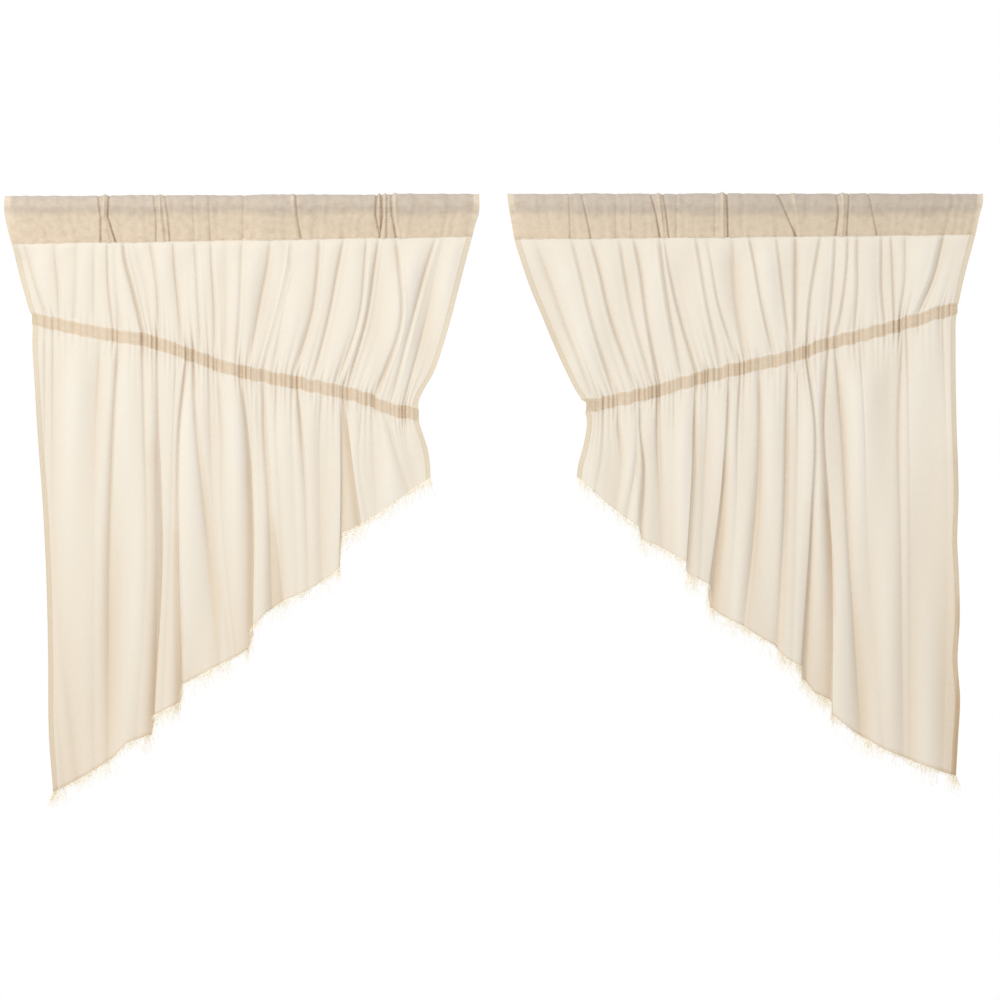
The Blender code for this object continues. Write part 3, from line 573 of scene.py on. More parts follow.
def edge_line(places):
    """How far across an edge lies, by its drop."""
    return smooth_line([place.drop for place in places], [place.across for place in places])


class Drape:
    """One panel's cloth as it hangs, worked out row by row from its folds and gathers."""

    def __init__(self, panel):
        self.panel = panel
        self.outer = edge_line(panel.outer_edge)
        self.inner = edge_line(panel.inner_edge)
        self.tape = smooth_line([p.across for p in panel.tape], [p.drop for p in panel.tape])
        self.ends = panel.tape[0].across, panel.tape[-1].across
        half = TAPE_WIDTH / 2
        drops = panel.tape[0].drop, panel.tape[-1].drop
        hems = panel.hem[0].drop, panel.hem[-1].drop
        self.spans = {
            "upper": (panel.seam, tuple(drop - half for drop in drops)),
            "lower": (tuple(drop + half for drop in drops), hems),
        }
        self.folds = {
            "upper": [self.prepare(fold, -1) for fold in panel.upper_folds],
            "lower": [self.prepare(fold, 0) for fold in panel.lower_folds],
        }
        self.columns = self.choose_columns()
        self.gathers = self.choose_gathers(random.Random(GATHER_SEED + panel.side))
        self.waves = self.choose_waves(random.Random(WAVE_SEED + panel.side))
        self.nicks = self.choose_nicks(random.Random(NICK_SEED + panel.side))

    def prepare(self, fold, meeting):
        """(meeting place on the tape, line, strength, fold) with smooth functions of the share."""
        line = smooth_line(FOLD_SHARES, fold.line)
        strength = smooth_line(FOLD_SHARES, fold.strength)
        return fold.line[meeting], line, strength, fold

    def choose_columns(self):
        """Where the mesh's columns cross the tape: evenly, and closer at the folds."""
        low, high = self.ends
        columns = list(np.linspace(low, high, int((high - low) / COLUMN_STEP)))
        for zone in self.folds.values():
            for meet, _, _, fold in zone:
                offsets = LAP_OFFSETS if fold.lap else FOLD_OFFSETS
                columns += [meet + offset for offset in offsets if low < meet + offset < high]
        columns = np.sort(np.array(columns))
        keep = np.concatenate([[True], np.diff(columns) > LEAST_STEP])
        keep[-1] = True
        return columns[keep]

    def bunched(self, place):
        """1 where the gathers on the tape are pushed close together, and 0 well away from there."""
        return max(math.exp(-(((place - middle) / BUNCH_HALF) ** 2)) for middle in self.panel.bunches)

    def choose_gathers(self, dice):
        """(place on the tape, depth, flank, reach above, reach below) of the small gathers."""
        low, high = self.ends
        gathers = []
        place = low + 0.012
        while place < high - 0.006:
            crowd = 0.7 + 0.3 * smooth_step((place - low) / 0.2)
            close = self.bunched(place)
            gap = dice.uniform(0.0044, 0.0100) * (1.35 - 0.55 * close) / crowd
            depth = dice.uniform(0.0014, 0.0038) * (0.65 + 0.65 * close) * crowd
            reach_up = 0.012 + 0.070 * dice.random() ** 1.6
            reach_down = 0.012 + 0.070 * dice.random() ** 1.8
            gathers.append((place, depth, gap * 0.46, reach_up, reach_down))
            place += gap
        return gathers

    def choose_waves(self, dice):
        """(height, turns across, turns down, start) of the cloth's slow undulation."""
        waves = []
        for _ in range(6):
            across_turns = 2 * math.pi / dice.uniform(0.060, 0.150)
            down_turns = 2 * math.pi / dice.uniform(0.5, 1.2) * dice.choice((-1, 1))
            waves.append((dice.uniform(0.0008, 0.0018), across_turns, down_turns, dice.uniform(0, 6.28)))
        return waves

    def choose_nicks(self, dice):
        """(place on the tape, half width, darkness) of the small nicks where gathers cross it, painted
        shade in the puckers there.
        """
        nicks = []
        for place, *_ in self.gathers:
            close = self.bunched(place)
            if dice.random() < 0.3 + 0.6 * close:
                spot = place + dice.uniform(-0.001, 0.001)
                half = dice.uniform(0.0013, 0.0020)
                nicks.append((spot, half, dice.uniform(0.15, 0.45) + 0.35 * close))
        return nicks

    def flow(self, zone, share):
        """A function from a place on the tape to the place across in this row on the same thread."""
        top, bottom = self.spans[zone]
        outer = float(self.outer(between(top[0], bottom[0], share)))
        inner = float(self.inner(between(top[1], bottom[1], share)))
        pairs = sorted((meet, float(line(share))) for meet, line, _, _ in self.folds[zone])
        at_tape = np.array([self.ends[0]] + [meet for meet, _ in pairs] + [self.ends[1]])
        here = np.array([outer] + [place for _, place in pairs] + [inner])
        here = np.maximum.accumulate(np.minimum(here, inner))
        return lambda place: np.interp(place, at_tape, here)

    def carry_folds(self, depth, zone, across, flow, near):
        """Adds the folds from across the tape, which fade out on this side of it."""
        for meet, _, strength, fold in self.folds[ZONES[zone].other]:
            flanks = [flank * CARRIED_WIDTH for flank in fold.flanks]
            power = max(0.0, float(strength(ZONES[zone].meets)))
            carried = fold.depth * power * CARRIED_DEPTH * near**2
            depth += carried * trough(across - flow(meet), *flanks, CARRIED_SHARPNESS)

    def sink_folds(self, depth, lapped, zone, share, across, near):
        """Adds the zone's own folds, and draws the steep side of a lapped one back over itself."""
        opened = ZONES[zone].opened[0] + ZONES[zone].opened[1] * share
        sharpness = ZONES[zone].sharpness[0] + ZONES[zone].sharpness[1] * share
        for _, line, strength, fold in self.folds[zone]:
            place, power = float(line(share)), max(0.0, float(strength(share)))
            flanks = [flank * opened for flank in fold.flanks]
            here = fold.depth * power * (1 - CALM_AT_TAPE * near) * ZONES[zone].shows
            depth += here * trough(across - place, *flanks, sharpness)
            if zone == "upper":
                beside = flanks[1] * RIDGE_PLACE
                ridge = trough(across - place - beside, beside * RIDGE_WIDTH, beside, RIDGE_SHARPNESS)
                depth -= here * RIDGE_HEIGHT * ridge
            if fold.lap:
                steep = min(fold.flanks)
                outer_is_steep = fold.flanks[0] < fold.flanks[1]
                middle = place - steep / 2 if outer_is_steep else place + steep / 2
                t = (across - middle) / (steep * 0.5)
                growth = smooth_step((share - LAP_START) / LAP_GROWS_OVER)
                lapped -= fold.lap * power * growth * t * np.exp(0.5 - t * t / 2)

    def swell(self, depth, zone, share, across):
        """Lets the cloth swell softly towards the room between one fold and the next."""
        folds = [float(line(share)) for _, line, _, _ in self.folds[zone]]
        lines = sorted([across[0], across[-1]] + folds)
        for first, last in zip(lines, lines[1:]):
            gap = last - first
            t = np.clip((across - first) / max(gap, 1e-6), 0, 1)
            depth -= min(SWELL_MOST, gap * SWELL_SHARE) * np.sin(math.pi * t) ** SWELL_ROUNDNESS

    def gather(self, depth, zone, across, flow, from_tape):
        """Adds the small gathers at the tape, which widen and fade away from it."""
        for place, size, flank, reach_up, reach_down in self.gathers:
            reach = reach_up if zone == "upper" else reach_down
            fade = np.exp(-((from_tape / reach) ** GATHER_FADE))
            wider = 1 + from_tape / GATHER_WIDENS_OVER
            x = (across - flow(place)) / wider
            depth += size * fade * trough(x, flank, flank, GATHER_SHARPNESS)

    def row(self, zone, share, drop):
        """(across, depth) of the columns in one row that hangs at the given drop."""
        flow = self.flow(zone, share)
        across = flow(self.columns)
        from_tape = np.maximum(np.abs(drop - self.tape(self.columns)) - TAPE_WIDTH / 2, 0)
        near = 1 - smooth_step(from_tape / CARRIED_REACH)
        depth = np.zeros_like(across)
        lapped = across.copy()
        self.carry_folds(depth, zone, across, flow, near)
        self.sink_folds(depth, lapped, zone, share, across, near)
        self.swell(depth, zone, share, across)
        self.gather(depth, zone, across, flow, from_tape)
        edge = np.minimum(across - across[0], across[-1] - across)
        away = smooth_step(from_tape / WAVE_REACH)
        if zone == "upper":
            depth *= SEAM_CALM + (1 - SEAM_CALM) * smooth_step(share / SEAM_CALM_UNTIL)
            away = away * smooth_step(share / WAVE_START)
        depth *= EDGE_CALM + (1 - EDGE_CALM) * smooth_step((edge - EDGE_START) / EDGE_REACH)
        for height, across_turns, down_turns, start in self.waves:
            depth += height * away * np.sin(across * across_turns + drop * down_turns + start)
        return lapped, depth

    def surface(self):
        """The cloth's rows from the pocket's seam to the cut edge, as (across, depth, drop)."""
        panel = self.panel
        wobble = sum(
            height * np.sin(self.columns * across_turns * 3 + start)
            for height, across_turns, _, start in self.waves
        )
        tape_drop = self.tape(self.columns) + wobble * TAPE_WOBBLE
        tape_top, tape_bottom = tape_drop - TAPE_WIDTH / 2, tape_drop + TAPE_WIDTH / 2
        seam_across = self.flow("upper", 0.0)(self.columns)
        share_across = (seam_across - seam_across[0]) / (seam_across[-1] - seam_across[0])
        seam_drop = between(*panel.seam, share_across)
        hem_across = self.flow("lower", 1.0)(self.columns)
        hem_drop = np.interp(hem_across, [p.across for p in panel.hem], [p.drop for p in panel.hem])
        upper_end = self.row("upper", 1.0, tape_top)
        lower_start = self.row("lower", 0.0, tape_bottom)
        tape_depth = (upper_end[1] + lower_start[1]) * TAPE_CALM
        points = []

        def add_row(zone, share, drop, from_tape):
            """Adds a row that merges with the tape's own line where it is close to it."""
            across, depth = self.row(zone, share, drop)
            depth = between(depth, tape_depth, smooth_step(1 - from_tape / MERGE_REACH))
            points.append(np.stack([across, depth, drop], axis=1))

        for share in np.linspace(0, 1, UPPER_ROWS):
            drop = seam_drop + (tape_top - seam_drop) * share
            add_row("upper", share, drop, tape_top - drop)
        for share in np.linspace(0, 1, TAPE_ROWS + 2)[1:-1]:
            drop = tape_drop + TAPE_WIDTH / 2 * (2 * share - 1)
            points.append(np.stack([self.columns, tape_depth, drop], axis=1))
        for share in np.linspace(0, 1, LOWER_ROWS) ** HEM_CLOSER:
            drop = tape_bottom + (hem_drop - tape_drop - TAPE_WIDTH / 2) * share
            add_row("lower", share, drop, drop - tape_drop - TAPE_WIDTH / 2)
        return np.array(points)


def cloth_places(points):
    """How far along the cloth each point lies in its row, in metres of the cut width."""
    steps = np.linalg.norm(np.diff(points[:, :, :2], axis=1), axis=2)
    along = np.concatenate([np.zeros((len(points), 1)), np.cumsum(steps, axis=1)], axis=1)
    return along / along[:, -1:] * CUT_WIDTH


def placed(panel, points):
    """Points (across, depth, drop) of a panel in the part's own frame."""
    points = np.asarray(points)
    x = panel.side * (HALF_SPAN - points[..., 0])
    return np.stack([x, points[..., 1], -points[..., 2]], axis=-1)


def back_normals(grid):
    """Unit normals of a placed grid on the side that faces away from the room."""
    along = np.gradient(grid, axis=1)
    down = np.gradient(grid, axis=0)
    normal = np.cross(along, down)
    normal /= np.linalg.norm(normal, axis=-1, keepdims=True) + 1e-12
    return normal if normal[:, :, 1].mean() > 0 else -normal


def blurred(values, width):
    """Values averaged along each row over this many columns to each side."""
    kernel = np.exp(-((np.arange(-2 * width, 2 * width + 1) / width) ** 2))
    kernel /= kernel.sum()
    padded = np.pad(values, ((0, 0), (2 * width, 2 * width)), mode="edge")
    return np.array([np.convolve(row, kernel, mode="valid") for row in padded])


# How dark the cloth is painted, as shares between its light and its deep colour: partly where it
# is crowded, and partly painted shade in its folds, creases and laps, with painted highlights on ridges.
BLUR_COLUMNS = 26
FULLY_SUNK = 0.0050
PLAIN_SHADE = 0.15
STEEP_SHADE = 0.20
SUNK_SHADE = 0.24
RIDGE_LIGHT = 0.16
CUT_EDGE_SHADE = 0.40
DOUBLED_SHADE = 0.70
DOUBLED_SOFT = 0.0016
DOUBLED_STARTS_OVER = 0.06
TAPE_SHADE = 0.14
CREASE_HALF = 0.0022
CREASE_DARK = 70.0


def fold_shade(points, behind):
    """Painted shade at each point, 0 on a ridge and 1 deep in a fold: partly the crowded cloth, partly
    shade painted on steep and sunk parts, with a painted highlight on ridges.
    """
    steep = 1 - np.abs(behind[:, :, 1])
    depth = points[:, :, 1]
    sunk = np.clip((depth - blurred(depth, BLUR_COLUMNS)) / FULLY_SUNK, -1, 1)
    shade = PLAIN_SHADE + smooth_step(steep / 0.8) * STEEP_SHADE
    # Sunk cloth gets painted shade, and cloth raised above its neighbours a painted highlight.
    shade = shade + np.where(sunk > 0, sunk * SUNK_SHADE, sunk * RIDGE_LIGHT)
    shade[-1:] += CUT_EDGE_SHADE
    return np.clip(shade, 0, 1)


def doubled_shade(panel, points):
    """How much the cloth behind a lap and painted shade in the folds' valleys darken each point, and how
    the light falls off below, as painted shade.
    """
    across, drop = points[:, :, 0], points[:, :, 2]
    # Painted shade: the right panel a little darker all over, and both darker towards the bottom where the
    # light falls off.
    base, falling = (0.02, 0.19) if panel.side > 0 else (0.0, 0.24)
    shade = base + falling * smooth_step((drop - 0.26) / 0.60)
    for strip in panel.doubled:
        outer = smooth_line(strip.drops, strip.outer)(drop)
        inner = smooth_line(strip.drops, strip.inner)(drop)
        t = np.clip((across - outer) / (inner - outer), 0, 1)
        inside = smooth_step((across - outer) / DOUBLED_SOFT + 0.5)
        inside = inside * smooth_step((inner - across) / DOUBLED_SOFT + 0.5)
        below = smooth_step((drop - strip.drops[0]) / DOUBLED_STARTS_OVER)
        shade += DOUBLED_SHADE * between(*strip.amount, t) * inside * below
    return shade


def gather_shade(drape, points):
    """The thin dark creases that fan out from the tape where the cloth is drawn together, as painted shade
    that is partly the crowded cloth.
    """
    shade = np.zeros(points.shape[:2])
    from_tape = np.maximum(np.abs(points[:, :, 2] - drape.tape(drape.columns)) - TAPE_WIDTH / 2, 0)
    above, below = slice(0, UPPER_ROWS), slice(UPPER_ROWS + TAPE_ROWS, None)
    for place, depth, _, reach_up, reach_down in drape.gathers:
        line = depth * CREASE_DARK * trough(drape.columns - place, CREASE_HALF, CREASE_HALF, 1.3)
        for part, reach in ((above, reach_up), (below, reach_down)):
            shade[part] += line * np.exp(-from_tape[part] / (0.9 * reach))
    return shade


def grid_faces(rows, columns, flip):
    """The quads of a grid, turned to face the room."""
    faces = []
    for r in range(rows - 1):
        for c in range(columns - 1):
            a = r * columns + c
            quad = (a, a + columns, a + columns + 1, a + 1)
            faces.append(quad[::-1] if flip else quad)
    return faces


def press_folds(made, columns, folded):
    """Parts the shading of a grid at the columns where its cloth is folded flat on itself."""
    mesh = made.data
    ends = np.zeros(len(mesh.edges) * 2, dtype=np.int32)
    mesh.edges.foreach_get("vertices", ends)
    column = ends.reshape(-1, 2) % columns
    pressed = (column[:, 0] == column[:, 1]) & np.isin(column[:, 0], folded)
    mesh.edges.foreach_set("use_edge_sharp", pressed)


def lay_map(made, across, down):
    """Gives a mesh its cloth map, in metres: across the cloth and down it."""
    mesh = made.data
    layer = mesh.uv_layers.new(name="cloth")
    corners = np.zeros(len(mesh.loops), dtype=np.int32)
    mesh.loops.foreach_get("vertex_index", corners)
    flat = np.stack([np.ravel(across)[corners], np.ravel(down)[corners]], axis=1)
    layer.data.foreach_set("uv", flat.astype(np.float32).ravel())


def lay_shade(made, name, values):
    """Gives a mesh an attribute with a value for each of its points."""
    layer = made.data.attributes.new(name, "FLOAT", "POINT")
    layer.data.foreach_set("value", np.ravel(values).astype(np.float32))


def cotton(name, light, deep, cover, deep_cover, see_through, grain, rod_shadow_tone=None):
    """Unbleached plain-weave cotton: slubbed threads both ways, closer in its folds, and painted darker
    and warmer there by its shade, which also paints highlights on ridges.
    """
    finish = Finish(name)
    flat = finish.node("ShaderNodeUVMap", {"uv_map": "cloth"})

    def threads(across_scale, down_scale, detail):
        stretched = finish.node(
            "ShaderNodeMapping", None, {"Vector": flat, "Scale": (across_scale, down_scale, 1.0)}
        )
        return finish.node(
            "ShaderNodeTexNoise",
            {"noise_dimensions": "2D"},
            {"Vector": stretched, "Scale": 1.0, "Detail": detail, "Roughness": 0.6},
        )

    warp = threads(620.0, 16.0, 2.0)
    weft = threads(16.0, 620.0, 2.0)
    slub = threads(42.0, 420.0, 1.0)
    patches = threads(10.0, 8.0, 2.0)
    blots = threads(80.0, 110.0, 3.0)
    weave = warp * 0.26 + weft * 0.26 + slub * 0.16 + patches * 0.12 + blots * 0.20
    shade = finish.node("ShaderNodeAttribute", {"attribute_name": "shade"}, output=2)
    shade_and_weave = shade + (weave - 0.5) * grain + (blots - 0.5) * (grain * 0.5)
    # A pocket's cloth turns greyer over the rod, a painted shadow of the rod inside it.
    if rod_shadow_tone:
        rod_shadow_share = finish.node("ShaderNodeAttribute", {"attribute_name": "rod_shadow_share"}, output=2)
        light = finish.blend(rod_shadow_share + (weave - 0.5) * (grain * 1.6), light, rod_shadow_tone)
    # The shade blends the colour towards the deep one: painted shade, with the weave's own uneven tone.
    colour = finish.blend(shade_and_weave, light, deep)
    closeness = shade * (deep_cover - cover) + (weave - 0.5) * grain + cover
    relief = finish.node(
        "ShaderNodeBump", None, {"Height": warp + weft + slub, "Strength": 0.16, "Distance": 0.0004}
    )
    front = finish.node(
        "ShaderNodeBsdfPrincipled",
        None,
        {"Base Color": colour, "Roughness": 0.88, "Specular IOR Level": 0.2, "Normal": relief},
    )
    through = finish.node("ShaderNodeBsdfTranslucent", None, {"Color": colour})
    both = finish.node("ShaderNodeMixShader", None, {0: see_through, 1: front, 2: through})
    gaps = finish.node("ShaderNodeBsdfTransparent")
    return finish.close(finish.node("ShaderNodeMixShader", None, {0: closeness, 1: gaps, 2: both}))


# A side hem is turned in behind the panel, in three columns from its fold inwards. Its back layer
# has a lighter tone, because it shows through the front one and darkens it.
HEM_SHARES = (0.3, 0.65, 1.0)
HEM_COLUMNS = len(HEM_SHARES)
HEM_GAP = 0.0008
HEM_LIGHTER_ABOVE = 0.50
HEM_LIGHTER_BELOW = 0.34


def point_at(at, along, line):
    """The point of a line at the length at, where along holds each of its points' own length."""
    return np.array([np.interp(at, along, line[:, axis]) for axis in range(3)])


def turned_hem(cloth, start, inwards):
    """The layers of a side hem from its fold inwards, one column of points for each."""
    layers = []
    for part in HEM_SHARES:
        at = start + inwards * (SIDE_HEM * part)
        gap = min(1, part * 1.6)
        layer = [
            point_at(at, along, front) + point_at(at, along, behind) * HEM_GAP * gap
            for front, behind, along in zip(cloth.front, cloth.behind, cloth.places)
        ]
        layers.append(np.array(layer))
    return layers


Surface = namedtuple("Surface", "front behind places shade")
panel_cotton = cotton(
    "panel_cotton",
    light=(0.735, 0.645, 0.492),
    deep=(0.56, 0.41, 0.25),
    cover=0.62,
    deep_cover=0.95,
    see_through=0.35,
    grain=0.16,
)
drapes, surfaces, panel_pieces = {}, {}, {}
for panel in (LEFT, RIGHT):
    drape = Drape(panel)
    points = drape.surface()
    places = cloth_places(points)
    front = placed(panel, points)
    behind = back_normals(front)
    shade = fold_shade(points, behind) + doubled_shade(panel, points) + gather_shade(drape, points)
    shade = np.clip(shade, 0, 1)
    shade[TAPE_EDGES] = shade[TAPE_EDGES] * 0.55 + 0.04
    shade[TAPE_INSIDE] += TAPE_SHADE
    # Painted shade in the small puckers where the gathers cross the tape.
    for nick, half, dark in drape.nicks:
        shade[TAPE_EDGES] += dark * trough(drape.columns - nick, half, half, 1.2)
    shade = np.clip(shade, 0, 1)
    cloth = Surface(front, behind, places, shade)
    drapes[panel.name], surfaces[panel.name] = drape, cloth
    rows = len(points)
    outer_hem = turned_hem(cloth, 0.0, 1)
    inner_hem = turned_hem(cloth, CUT_WIDTH, -1)
    whole = np.concatenate(
        [np.stack(outer_hem[::-1], axis=1), front, np.stack(inner_hem, axis=1)], axis=1
    )
    columns = whole.shape[1]
    turned = SIDE_HEM * np.array(HEM_SHARES)
    across_map = np.concatenate(
        [np.tile(-turned[::-1], (rows, 1)), places, np.tile(CUT_WIDTH + turned, (rows, 1))], axis=1
    )
    both_hems = ((0, 0), (HEM_COLUMNS, HEM_COLUMNS))
    piece = add_mesh(
        f"{panel.name}_panel",
        whole.reshape(-1, 3),
        grid_faces(rows, columns, panel.side > 0),
        panel_cotton,
    )
    press_folds(piece, columns, (HEM_COLUMNS, columns - 1 - HEM_COLUMNS))
    lay_map(piece, across_map, np.pad(points[:, :, 2], both_hems, mode="edge"))
    hem_shade = np.pad(shade, both_hems, mode="edge")
    for turned_in in (slice(0, HEM_COLUMNS), slice(-HEM_COLUMNS, None)):
        hem_shade[:UPPER_ROWS, turned_in] -= HEM_LIGHTER_ABOVE
        hem_shade[UPPER_ROWS:, turned_in] -= HEM_LIGHTER_BELOW
    lay_shade(piece, "shade", hem_shade)
    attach(piece, "root")
    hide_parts(f"{panel.name}_panel_cloth")
    panel_pieces[panel.name] = piece


# The rod pockets. The top of each panel is turned over to the back and stitched down, which leaves
# an open sleeve of two layers. Where it is pushed together on the rod it pinches up into pleats.
POCKET_ROUND = 50
POCKET_COLUMNS = 900
POCKET_MAP = 0.14
ROD_ROOM = 0.0157
WALL_SHARE = 0.34
WALL_HALF = 0.0006
ROUND_START = math.radians(195)
ROUND_END = math.radians(-15)
LEFT_SAG = 0.0035
POCKET_SEED = 51
RIPPLE_STEP = 0.009
RIPPLE_HEIGHT = 0.0005
BROAD_STEP = 0.06
BROAD_HEIGHT = 0.0008
CREASE_LINE = 0.0023
CREASE_FLANK = 0.0062

# In the pockets the deep colour is painted shade in the pleats' creases, and the greyer tone a painted
# shadow of the rod inside.
pocket_cotton = cotton(
    "pocket_cotton",
    light=(0.75, 0.64, 0.495),
    deep=(0.26, 0.145, 0.065),
    cover=0.92,
    deep_cover=1.0,
    see_through=0.25,
    grain=0.75,
    rod_shadow_tone=(0.535, 0.475, 0.405),
)


def ripples(dice, step, share):
    """A smooth line of random heights across the pocket, from -1 to 1, with one for each step."""
    knots = np.arange(0, 1.0001, step)
    return smooth_line(knots, [dice.uniform(-1, 1) for _ in knots])(share)


def pocket_line(along, seam_y, calm_y, seam_drop, sag):
    """(depth, drop, outward depth, outward drop) of one line of the pocket, by its place round it."""
    if WALL_SHARE <= along <= 1 - WALL_SHARE:
        angle = between(ROUND_START, ROUND_END, (along - WALL_SHARE) / (1 - 2 * WALL_SHARE))
        over = np.full(POCKET_COLUMNS, ROD_ROOM * math.cos(angle))
        return over, sag - ROD_ROOM * math.sin(angle), math.cos(angle), -math.sin(angle)
    in_front = along < 0.5
    up = along / WALL_SHARE if in_front else (1 - along) / WALL_SHARE
    angle = ROUND_START if in_front else ROUND_END
    facing = -1 if in_front else 1
    at_seam = between(seam_y, calm_y, smooth_step(up / 0.18))
    base_y = (at_seam + facing * WALL_HALF) * (1 - up) + ROD_ROOM * math.cos(angle) * up
    base_drop = seam_drop * (1 - up) + (-ROD_ROOM * math.sin(angle) + sag) * up
    return base_y, base_drop, float(facing), 0.0


def pleated(panel, x, height, lift, in_front):
    """(lift, crease, ridge) of one line of the pocket, with its pleats pinched into it: crease is painted
    shade in the creases, lighter beside them and on ridges, and ridge marks where painted highlights go.
    """
    crease, ridge = np.zeros(POCKET_COLUMNS), np.zeros(POCKET_COLUMNS)
    strength = 0.62 if in_front else 0.4
    for pleat in panel.pleats:
        middle = np.interp(height, (0.0, 0.5, 1.0), (pleat.top, pleat.middle, pleat.seam))
        half = pleat.half * (1.3 if pleat.height > 0 else 0.95)
        near = trough(x - middle, half, half, 1.8)
        lift = lift + pleat.height * near * strength * (1 - 0.3 * height)
        if pleat.height > 0:
            crease -= 0.16 * near
            ridge = np.maximum(ridge, near)
        else:
            thin = trough(x - middle, CREASE_LINE, CREASE_LINE, 1.3)
            beside = trough(x - middle, CREASE_FLANK, CREASE_FLANK, 1.5)
            dark = min(1.0, -pleat.height / 0.0036) * (0.45 + 0.55 * height)
            crease = np.maximum(crease - 0.12 * beside * dark, thin * dark)
            ridge = np.maximum(ridge, beside * dark * (1 - thin))
    return lift, crease, ridge


pocket_pieces, seam_lines = {}, {}
for panel in (LEFT, RIGHT):
    drape = drapes[panel.name]
    top_row = surfaces[panel.name].front[0]
    panel_x = HALF_SPAN - panel.side * top_row[:, 0]
    share = np.linspace(0, 1, POCKET_COLUMNS)
    seam_x = between(panel_x[0], panel_x[-1], share)
    seam_y = np.interp(seam_x, panel_x, top_row[:, 1])
    calm_y = blurred(seam_y[None], 3)[0] * 0.45
    seam_drop = between(*panel.seam, share)
    dice = random.Random(POCKET_SEED + panel.side)
    ripple = ripples(dice, RIPPLE_STEP, share)
    broad = ripples(dice, BROAD_STEP, share)
    ring_points = np.zeros((POCKET_ROUND, POCKET_COLUMNS, 3))
    ring_map, pleat_shade, ridge_highlight = (np.zeros((POCKET_ROUND, POCKET_COLUMNS)) for _ in range(3))
    sag = (LEFT_SAG if panel.side < 0 else 0.0) * (1 - share)
    for q in range(POCKET_ROUND):
        along = q / (POCKET_ROUND - 1)
        base_y, base_drop, out_y, out_drop = pocket_line(along, seam_y, calm_y, seam_drop, sag)
        x = between(drape.outer(base_drop), drape.inner(base_drop), share)
        height = np.clip((base_drop + ROD_ROOM) / (seam_drop + ROD_ROOM), 0, 1)
        lift = ripple * RIPPLE_HEIGHT + broad * BROAD_HEIGHT
        lift, pleat_shade[q], ridge_highlight[q] = pleated(panel, x, height, lift, along < 0.5)
        ring_points[q, :, 0] = x
        ring_points[q, :, 1] = base_y + out_y * lift
        ring_points[q, :, 2] = base_drop + out_drop * lift * 0.9
        ring_map[q] = -along * POCKET_MAP
    ring = placed(panel, ring_points)
    ring_drop = ring_points[:, :, 2]
    # Painted shadow of the rod inside the pocket: over its top, softer further down, and lighter on the
    # pleats' ridges as a painted highlight and over the side hems.
    rod_shadow_share = smooth_step((0.0225 + broad * 0.004 + ripple * 0.0015 - ring_drop) / 0.013)
    rod_shadow_share *= 0.68 + 0.32 * smooth_step((0.004 - ring_drop) / 0.014)
    rod_shadow_share *= 1 - 0.6 * ridge_highlight
    from_end = np.minimum(share, 1 - share) * CUT_WIDTH
    rod_shadow_share *= 0.45 + 0.55 * smooth_step((from_end - SIDE_HEM + 0.001) / 0.002)
    rise, run = (np.abs(np.gradient(ring_points[:, :, axis], axis=1)) for axis in (1, 0))
    pinch = smooth_step(rise / run / 1.9)
    piece = add_mesh(
        f"{panel.name}_pocket",
        ring.reshape(-1, 3),
        grid_faces(POCKET_ROUND, POCKET_COLUMNS, panel.side < 0),
        pocket_cotton,
    )
    lay_map(piece, np.tile(share * CUT_WIDTH, (POCKET_ROUND, 1)), ring_map)
    # Painted shade on the pocket: in the creases, on the steep sides of the pleats, and a little more all
    # over on the left than on the right.
    plain = 0.09 if panel.side < 0 else 0.045
    lay_shade(piece, "shade", np.clip(plain + pleat_shade * 0.8 + pinch * 0.18, 0, 1))
    lay_shade(piece, "rod_shadow_share", rod_shadow_share)
    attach(piece, "root")
    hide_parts(f"{panel.name}_rod_pocket")
    pocket_pieces[panel.name] = piece
    seam_lines[panel.name] = ring[1] - (0.0, 0.0004, 0.0)


# The gathering tapes. Each is a straight strip of the same cotton, sewn along both its edges to the
# panel's back, on a slant. Drawn up, it gathers the panel, and it shows through as a darker band.
TAPE_TUCK = 0.0009
tape_cotton = cotton(
    "tape_cotton",
    light=(0.76, 0.58, 0.42),
    deep=(0.50, 0.31, 0.20),
    cover=0.62,
    deep_cover=1.0,
    see_through=0.3,
    grain=0.35,
)
for panel in (LEFT, RIGHT):
    cloth = surfaces[panel.name]
    strip = cloth.front[TAPE_EDGES] + cloth.behind[TAPE_EDGES] * TAPE_TUCK
    piece = add_mesh(
        f"{panel.name}_tape",
        strip.reshape(-1, 3),
        grid_faces(strip.shape[0], strip.shape[1], panel.side > 0),
        tape_cotton,
    )
    lay_map(piece, cloth.places[TAPE_EDGES], -strip[:, :, 2])
    lay_shade(piece, "shade", cloth.shade[TAPE_EDGES] * 0.5)
    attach(piece, "root")
    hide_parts(f"{panel.name}_gather_tape")


# The frayed edges. The lower edge of each panel isn't hemmed: its cross threads are pulled out and
# the loose long ones hang down, some close and short, some in longer tangled tufts.
THREAD_RADIUS = 0.00017
THREAD_BEND = 0.004
THREAD_SIDES = 3
THREAD_POINTS = 7
THREAD_KINDS = 6
KIND_STEP = 7.3
SHORT_THREADS = 1700
LONG_THREADS = 900
TUFTED_SHARE = 0.82
TUFTS = 40
TUFT_SPREAD = 0.006
TUFT_FAN = 22
CORNER_TUFT = 0.003
CORNER_LEAN = 0.16
STEEP_STEP = 1.6
ROOT_COVERED = 0.0012
EDGE_MARGIN = 0.0005
THREAD_SEED = 71


def socket_in(tree, name, kind):
    """Adds a named input to a tree of geometry nodes and returns its identifier."""
    return tree.interface.new_socket(name, in_out="INPUT", socket_type=kind).identifier


